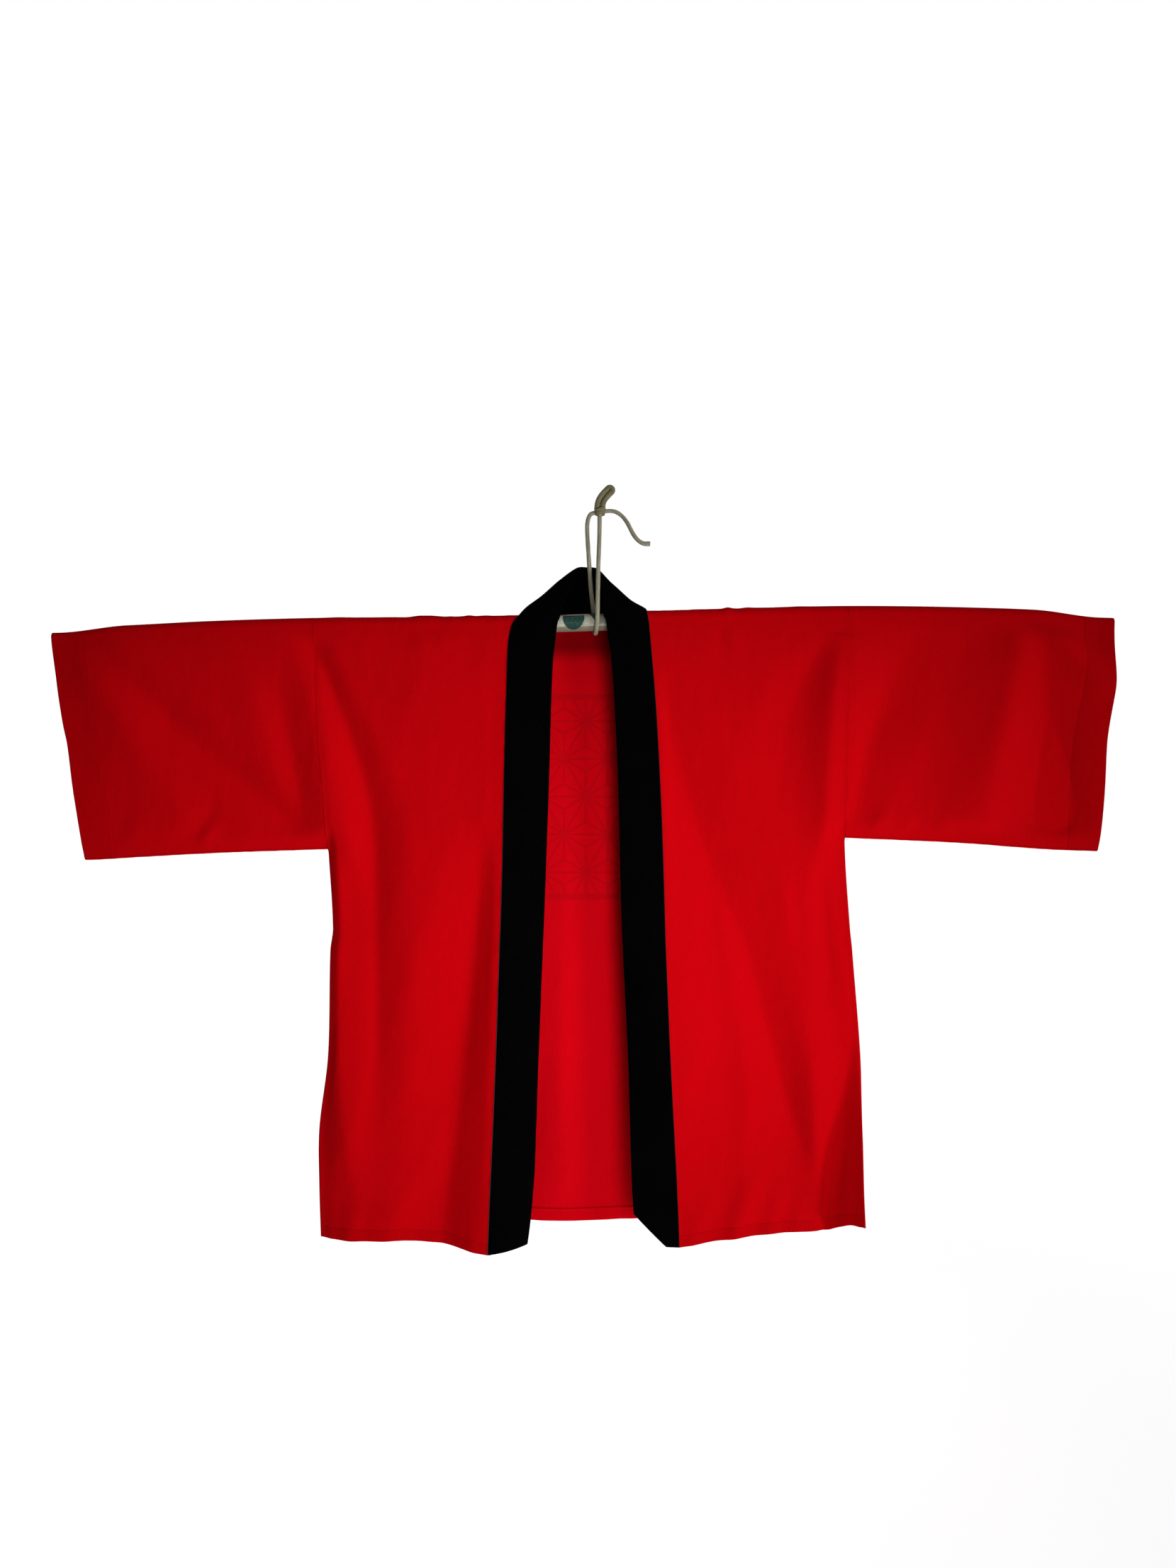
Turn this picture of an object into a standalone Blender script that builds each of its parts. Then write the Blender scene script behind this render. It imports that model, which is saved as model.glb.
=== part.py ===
# Happi coat hanging from a round rod that runs through both sleeves.
# Metres, +Z up, +X towards the wearer's left, the coat's front faces -Y.
# The origin is the inside top of the small cord loop that everything hangs by.

import math
from collections import namedtuple

import bmesh
import bpy
from mathutils import Vector

MM = 0.001

# ---------------------------------------------------------------- driving sizes

CLOTH = 1.5 * MM            # wall of the cotton panels
BAND = 2.6 * MM             # wall of the folded collar band
SEAM_GAP = 0.3 * MM         # between pieces at a seam
ROD_GAP = 0.7 * MM          # from the rod to the round of cloth that hangs on it

ROD_RADIUS = 10.6 * MM
ROD_RISE = 0.6 * MM         # the rod lies this far above the middle of the cloth's round
CORD = 5.5 * MM             # diameter of the braided cord
LOOP_CORD = 6.8 * MM        # its diameter where the small loop's cord is worked looser

COAT_X = -32 * MM           # the coat's middle, seen from the hanging point
SHOULDER_Z = -163 * MM      # the rod's middle, seen from the hanging point

SEAM_TURN = 3.0 * MM        # radius at which cloth turns into a closed seam
CUFF_FOLD = 5.5 * MM        # radius of the sleeve's top fold where no rod fills it
WRAP = ROD_RADIUS + ROD_RISE + ROD_GAP + CLOTH / 2    # middle of the cloth round the rod
SWELL = 3.4                 # millimetres the cloth stands off below the rod
SWELL_RISE = 16.0           # it stands off within about this drop
SWELL_END = (50.0, 220.0)   # and settles again between these drops
PROUD = (BAND - CLOTH) / 2  # the thicker band's middle lies this far outside the panels'

WRAP_STEPS = 4              # rows of a panel over the rod, top to side
ARM_SHARES = (0.07, 0.16, 0.3, 0.45, 0.62, 0.8, 1.0)   # rows from the rod to the armhole's corner
SKIRT_STEPS = 12            # rows from there to the hem
FRONT_COLUMNS = 11
BACK_COLUMNS = 20
BACK_EASE = 0.4             # how much closer its columns stand near the sides
TURN_COLUMNS = 4
TURN_END = 0.6              # millimetres of straight cloth that end a turned side
CUT_ROW = 4 * MM            # the short row below an armhole's corner
CUT_GAP = 0.8 * MM          # the side seam's gap at that row
SHOULDER_GAP = 0.7 * MM     # gap of the shoulder seam, where both edges curve
ARM_GAP = 0.5 * MM          # gap of the armhole seam, for the same reason
COLLAR_GAP = 0.6 * MM       # gap of the collar seam, where the two walls slope apart
CORNER_FADE = 0.12          # share of a panel's width in which its side turns in
LOWER_FADE = 0.24           # the same below the sleeves

# ---------------------------------------------------------------- tables, millimetres
# x is measured from the coat's middle, drop downwards from the rod's middle.

Rod = namedtuple("Rod", "x drop")
ROD_BOW = (
    Rod(-571, 16.0),
    Rod(-454, 10.2),
    Rod(-324, 6.4),
    Rod(-159, 4.8),
    Rod(0, 0.0),
    Rod(161, -4.4),
    Rod(301, -7.9),
    Rod(405, -7.6),
    Rod(509, -5.2),
    Rod(559, -3.2),
)

# The shoulder line of the cloth beyond the rod's ends droops a little more.
Droop = namedtuple("Droop", "x drop")
CUFF_DROOP = {-1: Droop(-651, 17.5), 1: Droop(648, -0.6)}

# The panels' edges: side seam or armhole, and the seam to the collar band.
# right and left are the wearer's.
Edge = namedtuple("Edge", "drop right_side right_seam left_seam left_side")
EDGES = (
    Edge(-13, -329.0, -77.5, 76.5, 320.0),
    Edge(0, -329.0, -87.5, 78.6, 320.0),
    Edge(20, -328.6, -91.7, 80.5, 319.8),
    Edge(100, -325.0, -94.8, 87.0, 319.2),
    Edge(190, -317.0, -97.2, 92.0, 318.6),
    Edge(275, -312.4, -98.6, 95.3, 318.6),
    Edge(372, -306.8, -101.2, 97.9, 324.8),
    Edge(400, -310.0, -102.2, 98.8, 327.6),
    Edge(528, -313.0, -106.3, 103.9, 336.3),
    Edge(620, -324.2, -109.9, 108.5, 334.6),
    Edge(690, -324.0, -112.9, 112.0, 332.4),
    Edge(756, -321.6, -115.4, 114.3, 332.4),
)

# The side seam's own way forward below the sleeves, and how far in the cloth feels it.
Swing = namedtuple("Swing", "drop right left wide")
SIDE_SWING = (
    Swing(0, 0.0, 0.0, 48.0),
    Swing(450, 0.0, 0.0, 45.0),
    Swing(560, 1.0, -9.0, 44.0),
    Swing(640, 3.0, -30.0, 36.0),
    Swing(720, 2.0, -50.0, 42.0),
    Swing(756, 1.0, -56.0, 46.0),
)

# The collar band's folded edge, and how far it lies behind its seam.
Free = namedtuple("Free", "drop right_free right_turn left_free left_turn")
FREE_EDGE = (
    Free(3, -33.4, -2.0, 27.6, -2.0),
    Free(55, -39.0, 1.0, 34.8, 1.0),
    Free(190, -43.5, 6.0, 42.0, 6.0),
    Free(361, -49.6, 12.0, 46.4, 10.0),
    Free(528, -56.0, 18.0, 54.0, 13.0),
    Free(690, -62.4, 22.0, 59.0, 16.0),
    Free(756, -69.5, 23.0, 61.0, 17.0),
)

# Hem line of the fronts and the back: share of the way from the side seam inwards.
Hem = namedtuple("Hem", "share right_front left_front back")
HEM = (
    Hem(0.0, 748.5, 719.8, 745.0),
    Hem(0.06, 748.4, 723.6, 744.2),
    Hem(0.12, 748.3, 732.6, 743.6),
    Hem(0.17, 748.3, 737.2, 743.0),
    Hem(0.22, 748.2, 736.8, 742.4),
    Hem(0.35, 748.0, 735.8, 741.0),
    Hem(0.5, 747.8, 736.4, 739.6),
    Hem(0.75, 752.0, 740.4, 737.4),
    Hem(1.0, 756.6, 748.2, 736.0),
)

# How far the front cloth hangs before the rod's middle, from side seam to collar.
Depth = namedtuple("Depth", "drop outer middle inner seam")
FRONT_DEPTH = {
    -1: (
        Depth(0, 12.6, 12.6, 12.6, 12.6),
        Depth(120, 14.0, 14.5, 15.0, 16.0),
        Depth(300, 13.5, 16.0, 18.0, 23.0),
        Depth(500, 14.0, 18.0, 22.0, 31.0),
        Depth(752, 14.0, 19.0, 26.0, 38.0),
    ),
    1: (
        Depth(0, 12.6, 12.6, 12.6, 12.6),
        Depth(120, 14.0, 15.0, 16.0, 17.0),
        Depth(300, 13.5, 17.0, 20.0, 24.0),
        Depth(500, 11.0, 19.0, 25.0, 31.0),
        Depth(752, 7.0, 20.5, 29.0, 36.0),
    ),
}
# The same for the back, measured behind the rod.
BACK_DEPTH = (
    Depth(0, 12.6, 12.6, 12.6, 12.6),
    Depth(120, 13.5, 15.0, 16.5, 17.0),
    Depth(300, 13.5, 16.5, 18.0, 18.5),
    Depth(500, 14.0, 18.0, 20.0, 20.0),
    Depth(752, 14.0, 19.5, 22.5, 22.0),
)
DEPTH_SHARES = (CORNER_FADE, 0.4, 0.72, 1.0)

# A sleeve's half thickness down its depth, 0 at the rod and 1 at the bottom seam.
Puff = namedtuple("Puff", "share half")
SLEEVE_PUFF = (
    Puff(0.0, 12.6),
    Puff(0.25, 13.2),
    Puff(0.5, 12.4),
    Puff(0.75, 10.2),
    Puff(0.92, 6.6),
    Puff(1.0, 3.0),
)

# The cuff's edge and the sleeve's bottom seam.
Cuff = namedtuple("Cuff", "drop right left")
CUFF_EDGE = (
    Cuff(-14, -649.4, 646.2),
    Cuff(22, -647.8, 644.0),
    Cuff(75, -638.0, 643.4),
    Cuff(126, -629.8, 635.6),
    Cuff(148, -625.4, 633.2),
    Cuff(204, -619.2, 631.4),
    Cuff(256, -612.4, 628.4),
    Cuff(288, -608.6, 624.6),
)
Under = namedtuple("Under", "share right left")
SLEEVE_BOTTOM = (
    Under(0.0, 276.2, 262.3),
    Under(0.45, 280.6, 268.4),
    Under(0.8, 285.8, 276.2),
    Under(1.0, 289.4, 278.6),
)

# Largest folds: a soft ridge towards the viewer (minus: a trough) from one place to
# another on the front, or behind the coat on the back.
Fold = namedtuple("Fold", "x0 drop0 x1 drop1 width height")
FRONT_FOLDS = (
    Fold(-314, 60, -294, 620, 34, 6.5),
    Fold(-332, 16, -262, 240, 32, -9.5),
    Fold(-261, 200, -249, 600, 40, -9.5),
    Fold(-134, 260, -188, 740, 46, -5.5),
    Fold(-300, 500, -303, 740, 26, 4.0),
    Fold(290, 24, 242, 200, 32, -5.5),
    Fold(308, 20, 296, 330, 34, 8.5),
    Fold(100, 90, 180, 370, 46, -8.5),
    Fold(168, 320, 270, 660, 52, -10.0),
    Fold(264, 440, 280, 700, 26, 7.0),
    Fold(318, 560, 294, 740, 22, -4.5),
    Fold(-580, 40, -370, 236, 40, -6.5),
    Fold(-590, 60, -480, 250, 42, 4.5),
    Fold(-410, 60, -364, 225, 24, 3.0),
    Fold(392, 20, 332, 250, 40, -6.5),
    Fold(526, 20, 480, 250, 50, 11.0),
    Fold(545, 20, 576, 250, 42, -10.0),
    Fold(556, 4, 628, 84, 22, 6.0),
)
BACK_FOLDS = (
    Fold(-260, 80, -268, 680, 44, 7.5),
    Fold(-154, 200, -182, 730, 44, -7.5),
    Fold(164, 160, 194, 730, 44, 8.0),
    Fold(272, 60, 280, 560, 36, -7.5),
    Fold(-22, 300, -24, 730, 48, -4.5),
    Fold(-74, 560, -92, 740, 34, 6.5),
    Fold(86, 580, 98, 740, 32, 5.5),
    Fold(-324, 30, -314, 240, 34, 6.0),
    Fold(321, 30, 319, 230, 34, 6.0),
    Fold(-580, 40, -366, 240, 42, -6.5),
    Fold(570, 35, 366, 232, 42, -6.5),
    Fold(-594, 70, -535, 235, 32, 5.0),
    Fold(588, 60, 536, 230, 32, 5.0),
)
FOLD_EDGE = 28.0            # folds die out this near a sleeve's bottom seam
FOLD_SIDE = 14.0            # and this near the closed side seam
FOLD_TOP = 26.0             # and this near the rod
FOLD_SEAM = 16.0            # and this near the collar seam
THINNEST = 2.2              # a sleeve's half thickness is never less in a trough

# The band round the neck: seam, crest and folded edge of each section.
# y is the depth behind the rod's middle, up the height above it.
Neck = namedtuple("Neck", "seam_x seam_y seam_up crest_x crest_y crest_up free_x free_y free_up")
NECK = (
    Neck(-79.6, -9.6, 9.6, -57.0, -14.8, 12.0, -30.6, -15.2, 6.0),
    Neck(-75.6, 0.6, 14.2, -61.0, -6.5, 23.0, -28.4, -14.4, 16.0),
    Neck(-62.0, 10.5, 14.2, -49.0, 1.5, 36.0, -24.0, -12.2, 30.0),
    Neck(-44.0, 16.0, 14.4, -33.0, 7.0, 50.5, -17.5, -7.0, 47.0),
    Neck(-22.0, 18.8, 14.5, -16.5, 13.5, 54.5, -10.0, 3.0, 66.4),
    Neck(3.0, 20.0, 14.5, 3.2, 20.0, 43.0, 3.8, 18.0, 70.4),
    Neck(28.0, 18.8, 14.5, 22.5, 13.5, 52.0, 17.8, 3.0, 64.4),
    Neck(47.0, 16.0, 14.4, 37.0, 7.0, 44.5, 22.6, -5.5, 44.0),
    Neck(64.0, 10.5, 14.2, 52.0, 1.5, 30.0, 23.6, -11.4, 27.0),
    Neck(74.8, 0.6, 14.2, 61.0, -6.5, 17.6, 24.2, -14.2, 14.0),
    Neck(76.0, -9.6, 9.6, 53.0, -14.8, 9.4, 25.4, -15.2, 5.0),
)
NECK_SUBSTEPS = 2
BAND_COLUMNS = 5
END_LIFT = {-1: 4.0, 1: 33.0}   # how far the band's inner corner is turned up at each hem

# Cord routes, x, y and z in millimetres from the hanging point.
Stop = namedtuple("Stop", "x y z")
KNOT_CENTRE = Stop(-12.6, 0.0, -27.0)
KNOT_RADII = Stop(7.4, 6.8, 5.2)
SLING_FRONT = (
    Stop(-13.2, -0.4, -32.9),
    Stop(-13.2, -2.2, -46.0),
    Stop(-13.7, -4.3, -66.0),
    Stop(-14.6, -7.2, -90.0),
    Stop(-15.2, -9.8, -113.0),
    Stop(-15.7, -13.0, -139.0),
)
SLING_BACK = (
    Stop(-20.8, 13.6, -146.0),
    Stop(-23.4, 11.6, -123.6),
    Stop(-25.6, 8.8, -93.6),
    Stop(-27.0, 6.2, -72.4),
    Stop(-28.2, 3.6, -51.3),
    Stop(-27.8, 1.8, -38.6),
    Stop(-24.6, 0.6, -30.4),
    Stop(-20.8, 0.0, -28.4),
)
SLING_UNDER_X = (-16.2, -19.8)
LOOP_MIDDLE = (
    Stop(-12.9, 0.0, -21.1),
    Stop(-11.8, 0.0, -15.4),
    Stop(-9.0, 0.0, -9.8),
    Stop(-5.0, 0.0, -4.8),
    Stop(-0.6, 0.0, -0.4),
)
LOOP_HALF = 3.55            # half the spacing of the loop's two legs
TAIL = (
    Stop(-4.8, 0.0, -26.2),
    Stop(0.5, -0.6, -26.0),
    Stop(7.0, -1.6, -27.6),
    Stop(14.0, -2.8, -32.6),
    Stop(20.0, -4.2, -40.4),
    Stop(24.4, -5.4, -49.0),
    Stop(28.4, -6.4, -56.6),
    Stop(33.6, -7.4, -63.2),
    Stop(40.0, -8.2, -67.2),
    Stop(48.2, -9.0, -67.8),
)


# ---------------------------------------------------------------- reading the tables

def between(keys, values, at):
    """Smooth curve through values at keys."""
    if at <= keys[0]:
        return values[0]
    if at >= keys[-1]:
        return values[-1]
    here = max(i for i in range(len(keys) - 1) if keys[i] <= at)
    span = keys[here + 1] - keys[here]
    share = (at - keys[here]) / span

    def slope(i):
        low = max(i - 1, 0)
        high = min(i + 1, len(keys) - 1)
        return (values[high] - values[low]) / (keys[high] - keys[low]) * span

    s2 = share * share
    s3 = s2 * share
    return ((2 * s3 - 3 * s2 + 1) * values[here] + (s3 - 2 * s2 + share) * slope(here)
            + (3 * s2 - 2 * s3) * values[here + 1] + (s3 - s2) * slope(here + 1))


def read(table, column, at):
    """Column of a table at a value of the table's first column."""
    return between([row[0] for row in table], [getattr(row, column) for row in table], at)


def blend(low, high, share):
    return low + (high - low) * share


def soft_step(share):
    share = min(max(share, 0.0), 1.0)
    return share * share * (3 - 2 * share)


def side_word(side):
    return "right" if side < 0 else "left"


def rod_drop(x):
    """Drop of the rod's axis, or of the sleeve's top fold beyond the rod's ends."""
    rows = [tuple(row) for row in ROD_BOW]
    rows.insert(0, tuple(CUFF_DROOP[-1]))
    rows.append(tuple(CUFF_DROOP[1]))
    return between([row[0] for row in rows], [row[1] for row in rows], x)


def corner_drop(side):
    return getattr(SLEEVE_BOTTOM[0], side_word(side))


def point(x, y, drop):
    """A place on the coat, given in millimetres, as a world point in metres."""
    return Vector((COAT_X + x * MM, y * MM, SHOULDER_Z - drop * MM))


# ---------------------------------------------------------------- the cloth's form

def fold_height(folds, x, drop):
    """Height of all folds at a place; each is a soft bell across its line."""
    height = 0.0
    for fold in folds:
        run_x = fold.x1 - fold.x0
        run_drop = fold.drop1 - fold.drop0
        length = math.hypot(run_x, run_drop)
        along = ((x - fold.x0) * run_x + (drop - fold.drop0) * run_drop) / length ** 2
        off = ((x - fold.x0) * run_drop - (drop - fold.drop0) * run_x) / length
        if not -0.1 < along < 1.1 or abs(off) > fold.width:
            continue
        ends = soft_step((along + 0.1) / 0.35) * soft_step((1.1 - along) / 0.35)
        height += fold.height * ends * (0.5 + 0.5 * math.cos(math.pi * off / fold.width))
    return height


def sleeve_half(share):
    return read(SLEEVE_PUFF, "half", share)


def body_depth(table, side, share, x, drop):
    """Depth of a body panel off the rod's middle, by its share in from the side."""
    widths = [read(table, name, drop) for name in ("outer", "middle", "inner", "seam")]
    inside = between(DEPTH_SHARES, widths, share)
    corner = corner_drop(side)
    if drop < corner:
        edge = sleeve_half((drop - rod_drop(x)) / (corner - rod_drop(x)))
    else:
        edge = SEAM_TURN / MM
    fade = blend(CORNER_FADE, LOWER_FADE, soft_step((drop - corner + 40) / 120.0))
    return blend(edge, inside, soft_step(share / fade)) + swell(drop - rod_drop(x))


def swell(level):
    """How far the cloth stands off at a level below the rod's middle."""
    begin, end = SWELL_END
    level = max(level, 0.0)
    return SWELL * (1 - math.exp(-level / SWELL_RISE)) * (1 - soft_step((level - begin) / (end - begin)))


def swing(side, x, side_x, drop):
    """The side seam's own way forward, felt some way into the cloth."""
    felt = 1 - soft_step((abs(x - side_x) - 1) / read(SIDE_SWING, "wide", drop))
    return read(SIDE_SWING, side_word(side), drop) * felt


def fold_fade(x, drop, side_x, seam_x, side):
    """Folds die out at the rod, at the closed side seam and at the collar."""
    fade = soft_step((drop - rod_drop(x)) / FOLD_TOP)
    fade *= soft_step(abs(seam_x - x) / FOLD_SEAM)
    low = soft_step((drop - corner_drop(side) + FOLD_EDGE) / FOLD_EDGE)
    return fade * blend(1.0, soft_step(abs(x - side_x) / FOLD_SIDE), low)


def over_rod(share):
    """Depth of the cloth over the rod, from the shoulder seam to the rod's side."""
    return WRAP / MM * math.sin(share * math.pi / 2) + SHOULDER_GAP / MM / 2 * (1 - share)


def panel_levels():
    """Rows of a panel: angle over the rod, then shares down to corner and hem."""
    rows = [("wrap", step / WRAP_STEPS) for step in range(WRAP_STEPS + 1)]
    rows += [("arm", share) for share in ARM_SHARES]
    rows += [("skirt", step / SKIRT_STEPS) for step in range(SKIRT_STEPS + 1)]
    return rows


def level_drop(kind, share, x, corner, hem):
    axis = rod_drop(x)
    if kind == "wrap":
        return axis - WRAP / MM * math.cos(share * math.pi / 2)
    if kind == "arm":
        return blend(axis, corner, share)
    start = corner + CUT_ROW / MM
    return blend(start, hem, share)


def turned_side(side, edge_x, step, kind, share, depth):
    """Columns at a panel's side: square to the armhole, or turned into the seam."""
    away = SEAM_TURN / MM * (1 - step / TURN_COLUMNS)
    if kind in ("wrap", "arm"):
        return edge_x - side * (ARM_GAP / MM / 2 + away), depth
    last = step == TURN_COLUMNS
    angle = min(step / (TURN_COLUMNS - 1), 1.0) * math.pi / 2
    skin = CLOTH / MM / 2
    turn = SEAM_TURN / MM - TURN_END
    x = edge_x - side * (skin + turn * (1 - math.sin(angle)))
    gap = CUT_GAP if share == 0 else SEAM_GAP
    return x, gap / MM / 2 + turn * math.cos(angle) + (0.0 if last else TURN_END)


def front_rows(side):
    """Points of one front panel, a row for each level, from collar seam to side."""
    word = side_word(side)
    corner = corner_drop(side)
    grid = []
    for kind, share in panel_levels():
        row = []
        for column in range(FRONT_COLUMNS + TURN_COLUMNS):
            inner = column < FRONT_COLUMNS
            across = column / FRONT_COLUMNS if inner else 1.0
            hem = read(HEM, word + "_front", 1 - across)
            guess = blend(getattr(EDGES[1], word + "_seam"), getattr(EDGES[1], word + "_side"), across)
            drop = level_drop(kind, share, guess, corner, hem)
            level = drop - rod_drop(guess) if kind == "wrap" else drop
            seam_x = read(EDGES, word + "_seam", level)
            side_x = read(EDGES, word + "_side", level)
            if inner:
                stop_x = side_x - side * (SEAM_TURN + CLOTH / 2) / MM
                x = blend(seam_x + side * COLLAR_GAP / MM / 2, stop_x, across)
            else:
                x = side_x - side * SEAM_TURN / MM
            depth = body_depth(FRONT_DEPTH[side], side, 1 - across, x, drop)
            depth += fold_height(FRONT_FOLDS, x, drop) * fold_fade(x, drop, side_x, seam_x, side)
            if not inner:
                step = column - FRONT_COLUMNS + 1
                x, depth = turned_side(side, side_x, step, kind, share, depth)
            if kind == "wrap":
                depth = over_rod(share)
            row.append(point(x, swing(side, x, side_x, drop) - depth, drop))
        grid.append(row)
    return grid


def neck_start(x):
    """Where the back panel's top edge runs behind the neck: depth and height."""
    seams = [(row.seam_x, row.seam_y, row.seam_up) for row in NECK if row.seam_y > 0]
    xs = [row[0] for row in seams]
    if not xs[0] < x < xs[-1]:
        return None
    skin = (BAND - CLOTH) / MM
    depth = between(xs, [row[1] for row in seams], x)
    up = between(xs, [row[2] for row in seams], x)
    return depth, up - COLLAR_GAP / MM - skin * 0.6


def back_rows():
    """Points of the back panel, from the wearer's right side to the left side."""
    columns = [(-1, step) for step in range(TURN_COLUMNS, 0, -1)]
    columns += [(0, step) for step in range(1, BACK_COLUMNS)]
    columns += [(1, step) for step in range(1, TURN_COLUMNS + 1)]
    grid = []
    for kind, share in panel_levels():
        row = []
        for edge, step in columns:
            across = step / BACK_COLUMNS if edge == 0 else (edge + 1) / 2
            across -= BACK_EASE * math.sin(2 * math.pi * across) / (2 * math.pi)
            side = -1 if across < 0.5 else 1
            inward = 1 - abs(2 * across - 1)
            corner = blend(corner_drop(-1), corner_drop(1), across)
            hem = read(HEM, "back", inward) if side < 0 else (
                read(HEM, "back", inward) + (HEM[0].left_front - HEM[0].right_front) * (1 - inward))
            guess = blend(EDGES[1].right_side, EDGES[1].left_side, across)
            drop = level_drop(kind, share, guess, corner, hem)
            level = drop - rod_drop(guess) if kind == "wrap" else drop
            ends = [read(EDGES, "right_side", level), read(EDGES, "left_side", level)]
            inset = (SEAM_TURN + CLOTH / 2) / MM
            x = blend(ends[0] + inset, ends[1] - inset, across)
            side_x = ends[0] if side < 0 else ends[1]
            if edge:
                x = side_x - side * SEAM_TURN / MM
            depth = body_depth(BACK_DEPTH, side, inward, x, drop)
            depth += fold_height(BACK_FOLDS, x, drop) * fold_fade(x, drop, side_x, x + 2 * FOLD_SEAM, side)
            depth += neck_push(x, drop)
            if edge:
                x, depth = turned_side(side, side_x, step, kind, share, depth)
            if kind == "wrap":
                depth, drop = back_wrap(x, share, drop)
            row.append(point(x, depth + swing(side, x, side_x, drop), drop))
        grid.append(row)
    return grid


def neck_push(x, drop):
    """The cord behind the rod holds the cloth of the back neck off it."""
    if neck_start(x) is None:
        return 0.0
    start = neck_start(x)
    extra = max(start[0] - WRAP / MM, 0.0)
    return extra * (1 - soft_step((drop - rod_drop(x)) / 90.0))


def back_wrap(x, share, drop):
    """Rows of the back over the rod; behind the neck they rise free of it."""
    start = neck_start(x)
    if start is None:
        return over_rod(share), drop
    first = max(math.atan2(start[0], start[1]), 0.0)
    angle = blend(first, math.pi / 2, share)
    side_depth = WRAP / MM + max(start[0] - WRAP / MM, 0.0)
    radius = blend(math.hypot(*start), side_depth, share)
    return radius * math.sin(angle), rod_drop(x) - radius * math.cos(angle)


# ---------------------------------------------------------------- sleeves

SLEEVE_STATIONS = (0.0, 0.12, 0.25, 0.38, 0.5, 0.62, 0.7, 0.77, 0.88, 1.0)
SLEEVE_WALLS = (0.0, 0.12, 0.26, 0.4, 0.54, 0.68, 0.8, 0.9, 0.96)
SLEEVE_TOP_STEPS = 6
SLEEVE_FOLD_STEPS = 4


def top_radius(x, side):
    """The rod fills the sleeve's top; beyond the rod's end the fold is sharper."""
    end = ROD_BOW[0].x if side < 0 else ROD_BOW[-1].x
    past = (x - end) * side
    return blend(WRAP / MM, CUFF_FOLD / MM, soft_step((past - 4) / 60.0))


def sleeve_ring():
    """Names of the points round a sleeve: (part, share), front up, over and down."""
    ring = [("front", share) for share in reversed(SLEEVE_WALLS)]
    ring += [("top", step / SLEEVE_TOP_STEPS) for step in range(1, SLEEVE_TOP_STEPS)]
    ring += [("back", share) for share in SLEEVE_WALLS]
    ring += [("fold", step / SLEEVE_FOLD_STEPS) for step in range(1, SLEEVE_FOLD_STEPS)]
    return ring


def sleeve_rows(side):
    """Rings of a sleeve from the armhole out to the cuff."""
    word = side_word(side)
    grid = []
    for station in SLEEVE_STATIONS:
        bottom = read(SLEEVE_BOTTOM, word, station) - CLOTH / MM / 2
        row = []
        for part, share in sleeve_ring():
            row.append(sleeve_point(side, word, station, bottom, part, share))
        grid.append(row)
    return grid


def sleeve_x(side, word, station, drop):
    arm = read(EDGES, word + "_side", drop) + side * ARM_GAP / MM / 2
    return blend(arm, read(CUFF_EDGE, word, drop), station)


def sleeve_point(side, word, station, bottom, part, share):
    guess = sleeve_x(side, word, station, 0)
    axis = rod_drop(guess)
    radius = top_radius(guess, side)
    turn = SEAM_TURN / MM
    if part == "top":
        angle = blend(-math.pi / 2, math.pi / 2, share)
        drop = axis - radius * math.cos(angle)
        return point(sleeve_x(side, word, station, drop), radius * math.sin(angle), drop)
    low = bottom - turn
    if part == "fold":
        angle = blend(math.pi / 2, -math.pi / 2, share)
        drop = low + turn * math.cos(angle)
        return point(sleeve_x(side, word, station, drop), turn * math.sin(angle), drop)
    drop = blend(axis, low, share)
    x = sleeve_x(side, word, station, drop)
    half = sleeve_half(share) * blend(radius / (WRAP / MM), 1.0, soft_step(share / 0.3))
    fade = soft_step((drop - axis) / FOLD_TOP) * soft_step((low - drop) / FOLD_EDGE)
    folds = FRONT_FOLDS if part == "front" else BACK_FOLDS
    half = max(half + fold_height(folds, x, drop) * fade, min(half, THINNEST)) + swell(drop - axis)
    return point(x, -half if part == "front" else half, drop)


# ---------------------------------------------------------------- collar band

def band_sections():
    """Seam, crest and folded edge of each section, hem to neck to hem."""
    right = front_sections(-1)
    left = front_sections(1)
    neck = []
    for row in NECK:
        parts = []
        for name in ("seam", "crest", "free"):
            x, y, up = (getattr(row, name + "_" + axis) for axis in ("x", "y", "up"))
            parts.append((x, y, rod_drop(x) - up))
        neck.append(parts)
    stops = [right[-1]] + neck + [left[-1]]
    dense = []
    for index in range(len(stops) - 1):
        for step in range(NECK_SUBSTEPS):
            dense.append(section_between(stops, index + step / NECK_SUBSTEPS))
    return right[:-1] + dense + list(reversed(left))


def section_between(stops, at):
    keys = list(range(len(stops)))
    parts = []
    for part in range(3):
        parts.append(tuple(between(keys, [stop[part][axis] for stop in stops], at) for axis in range(3)))
    return parts


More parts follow.
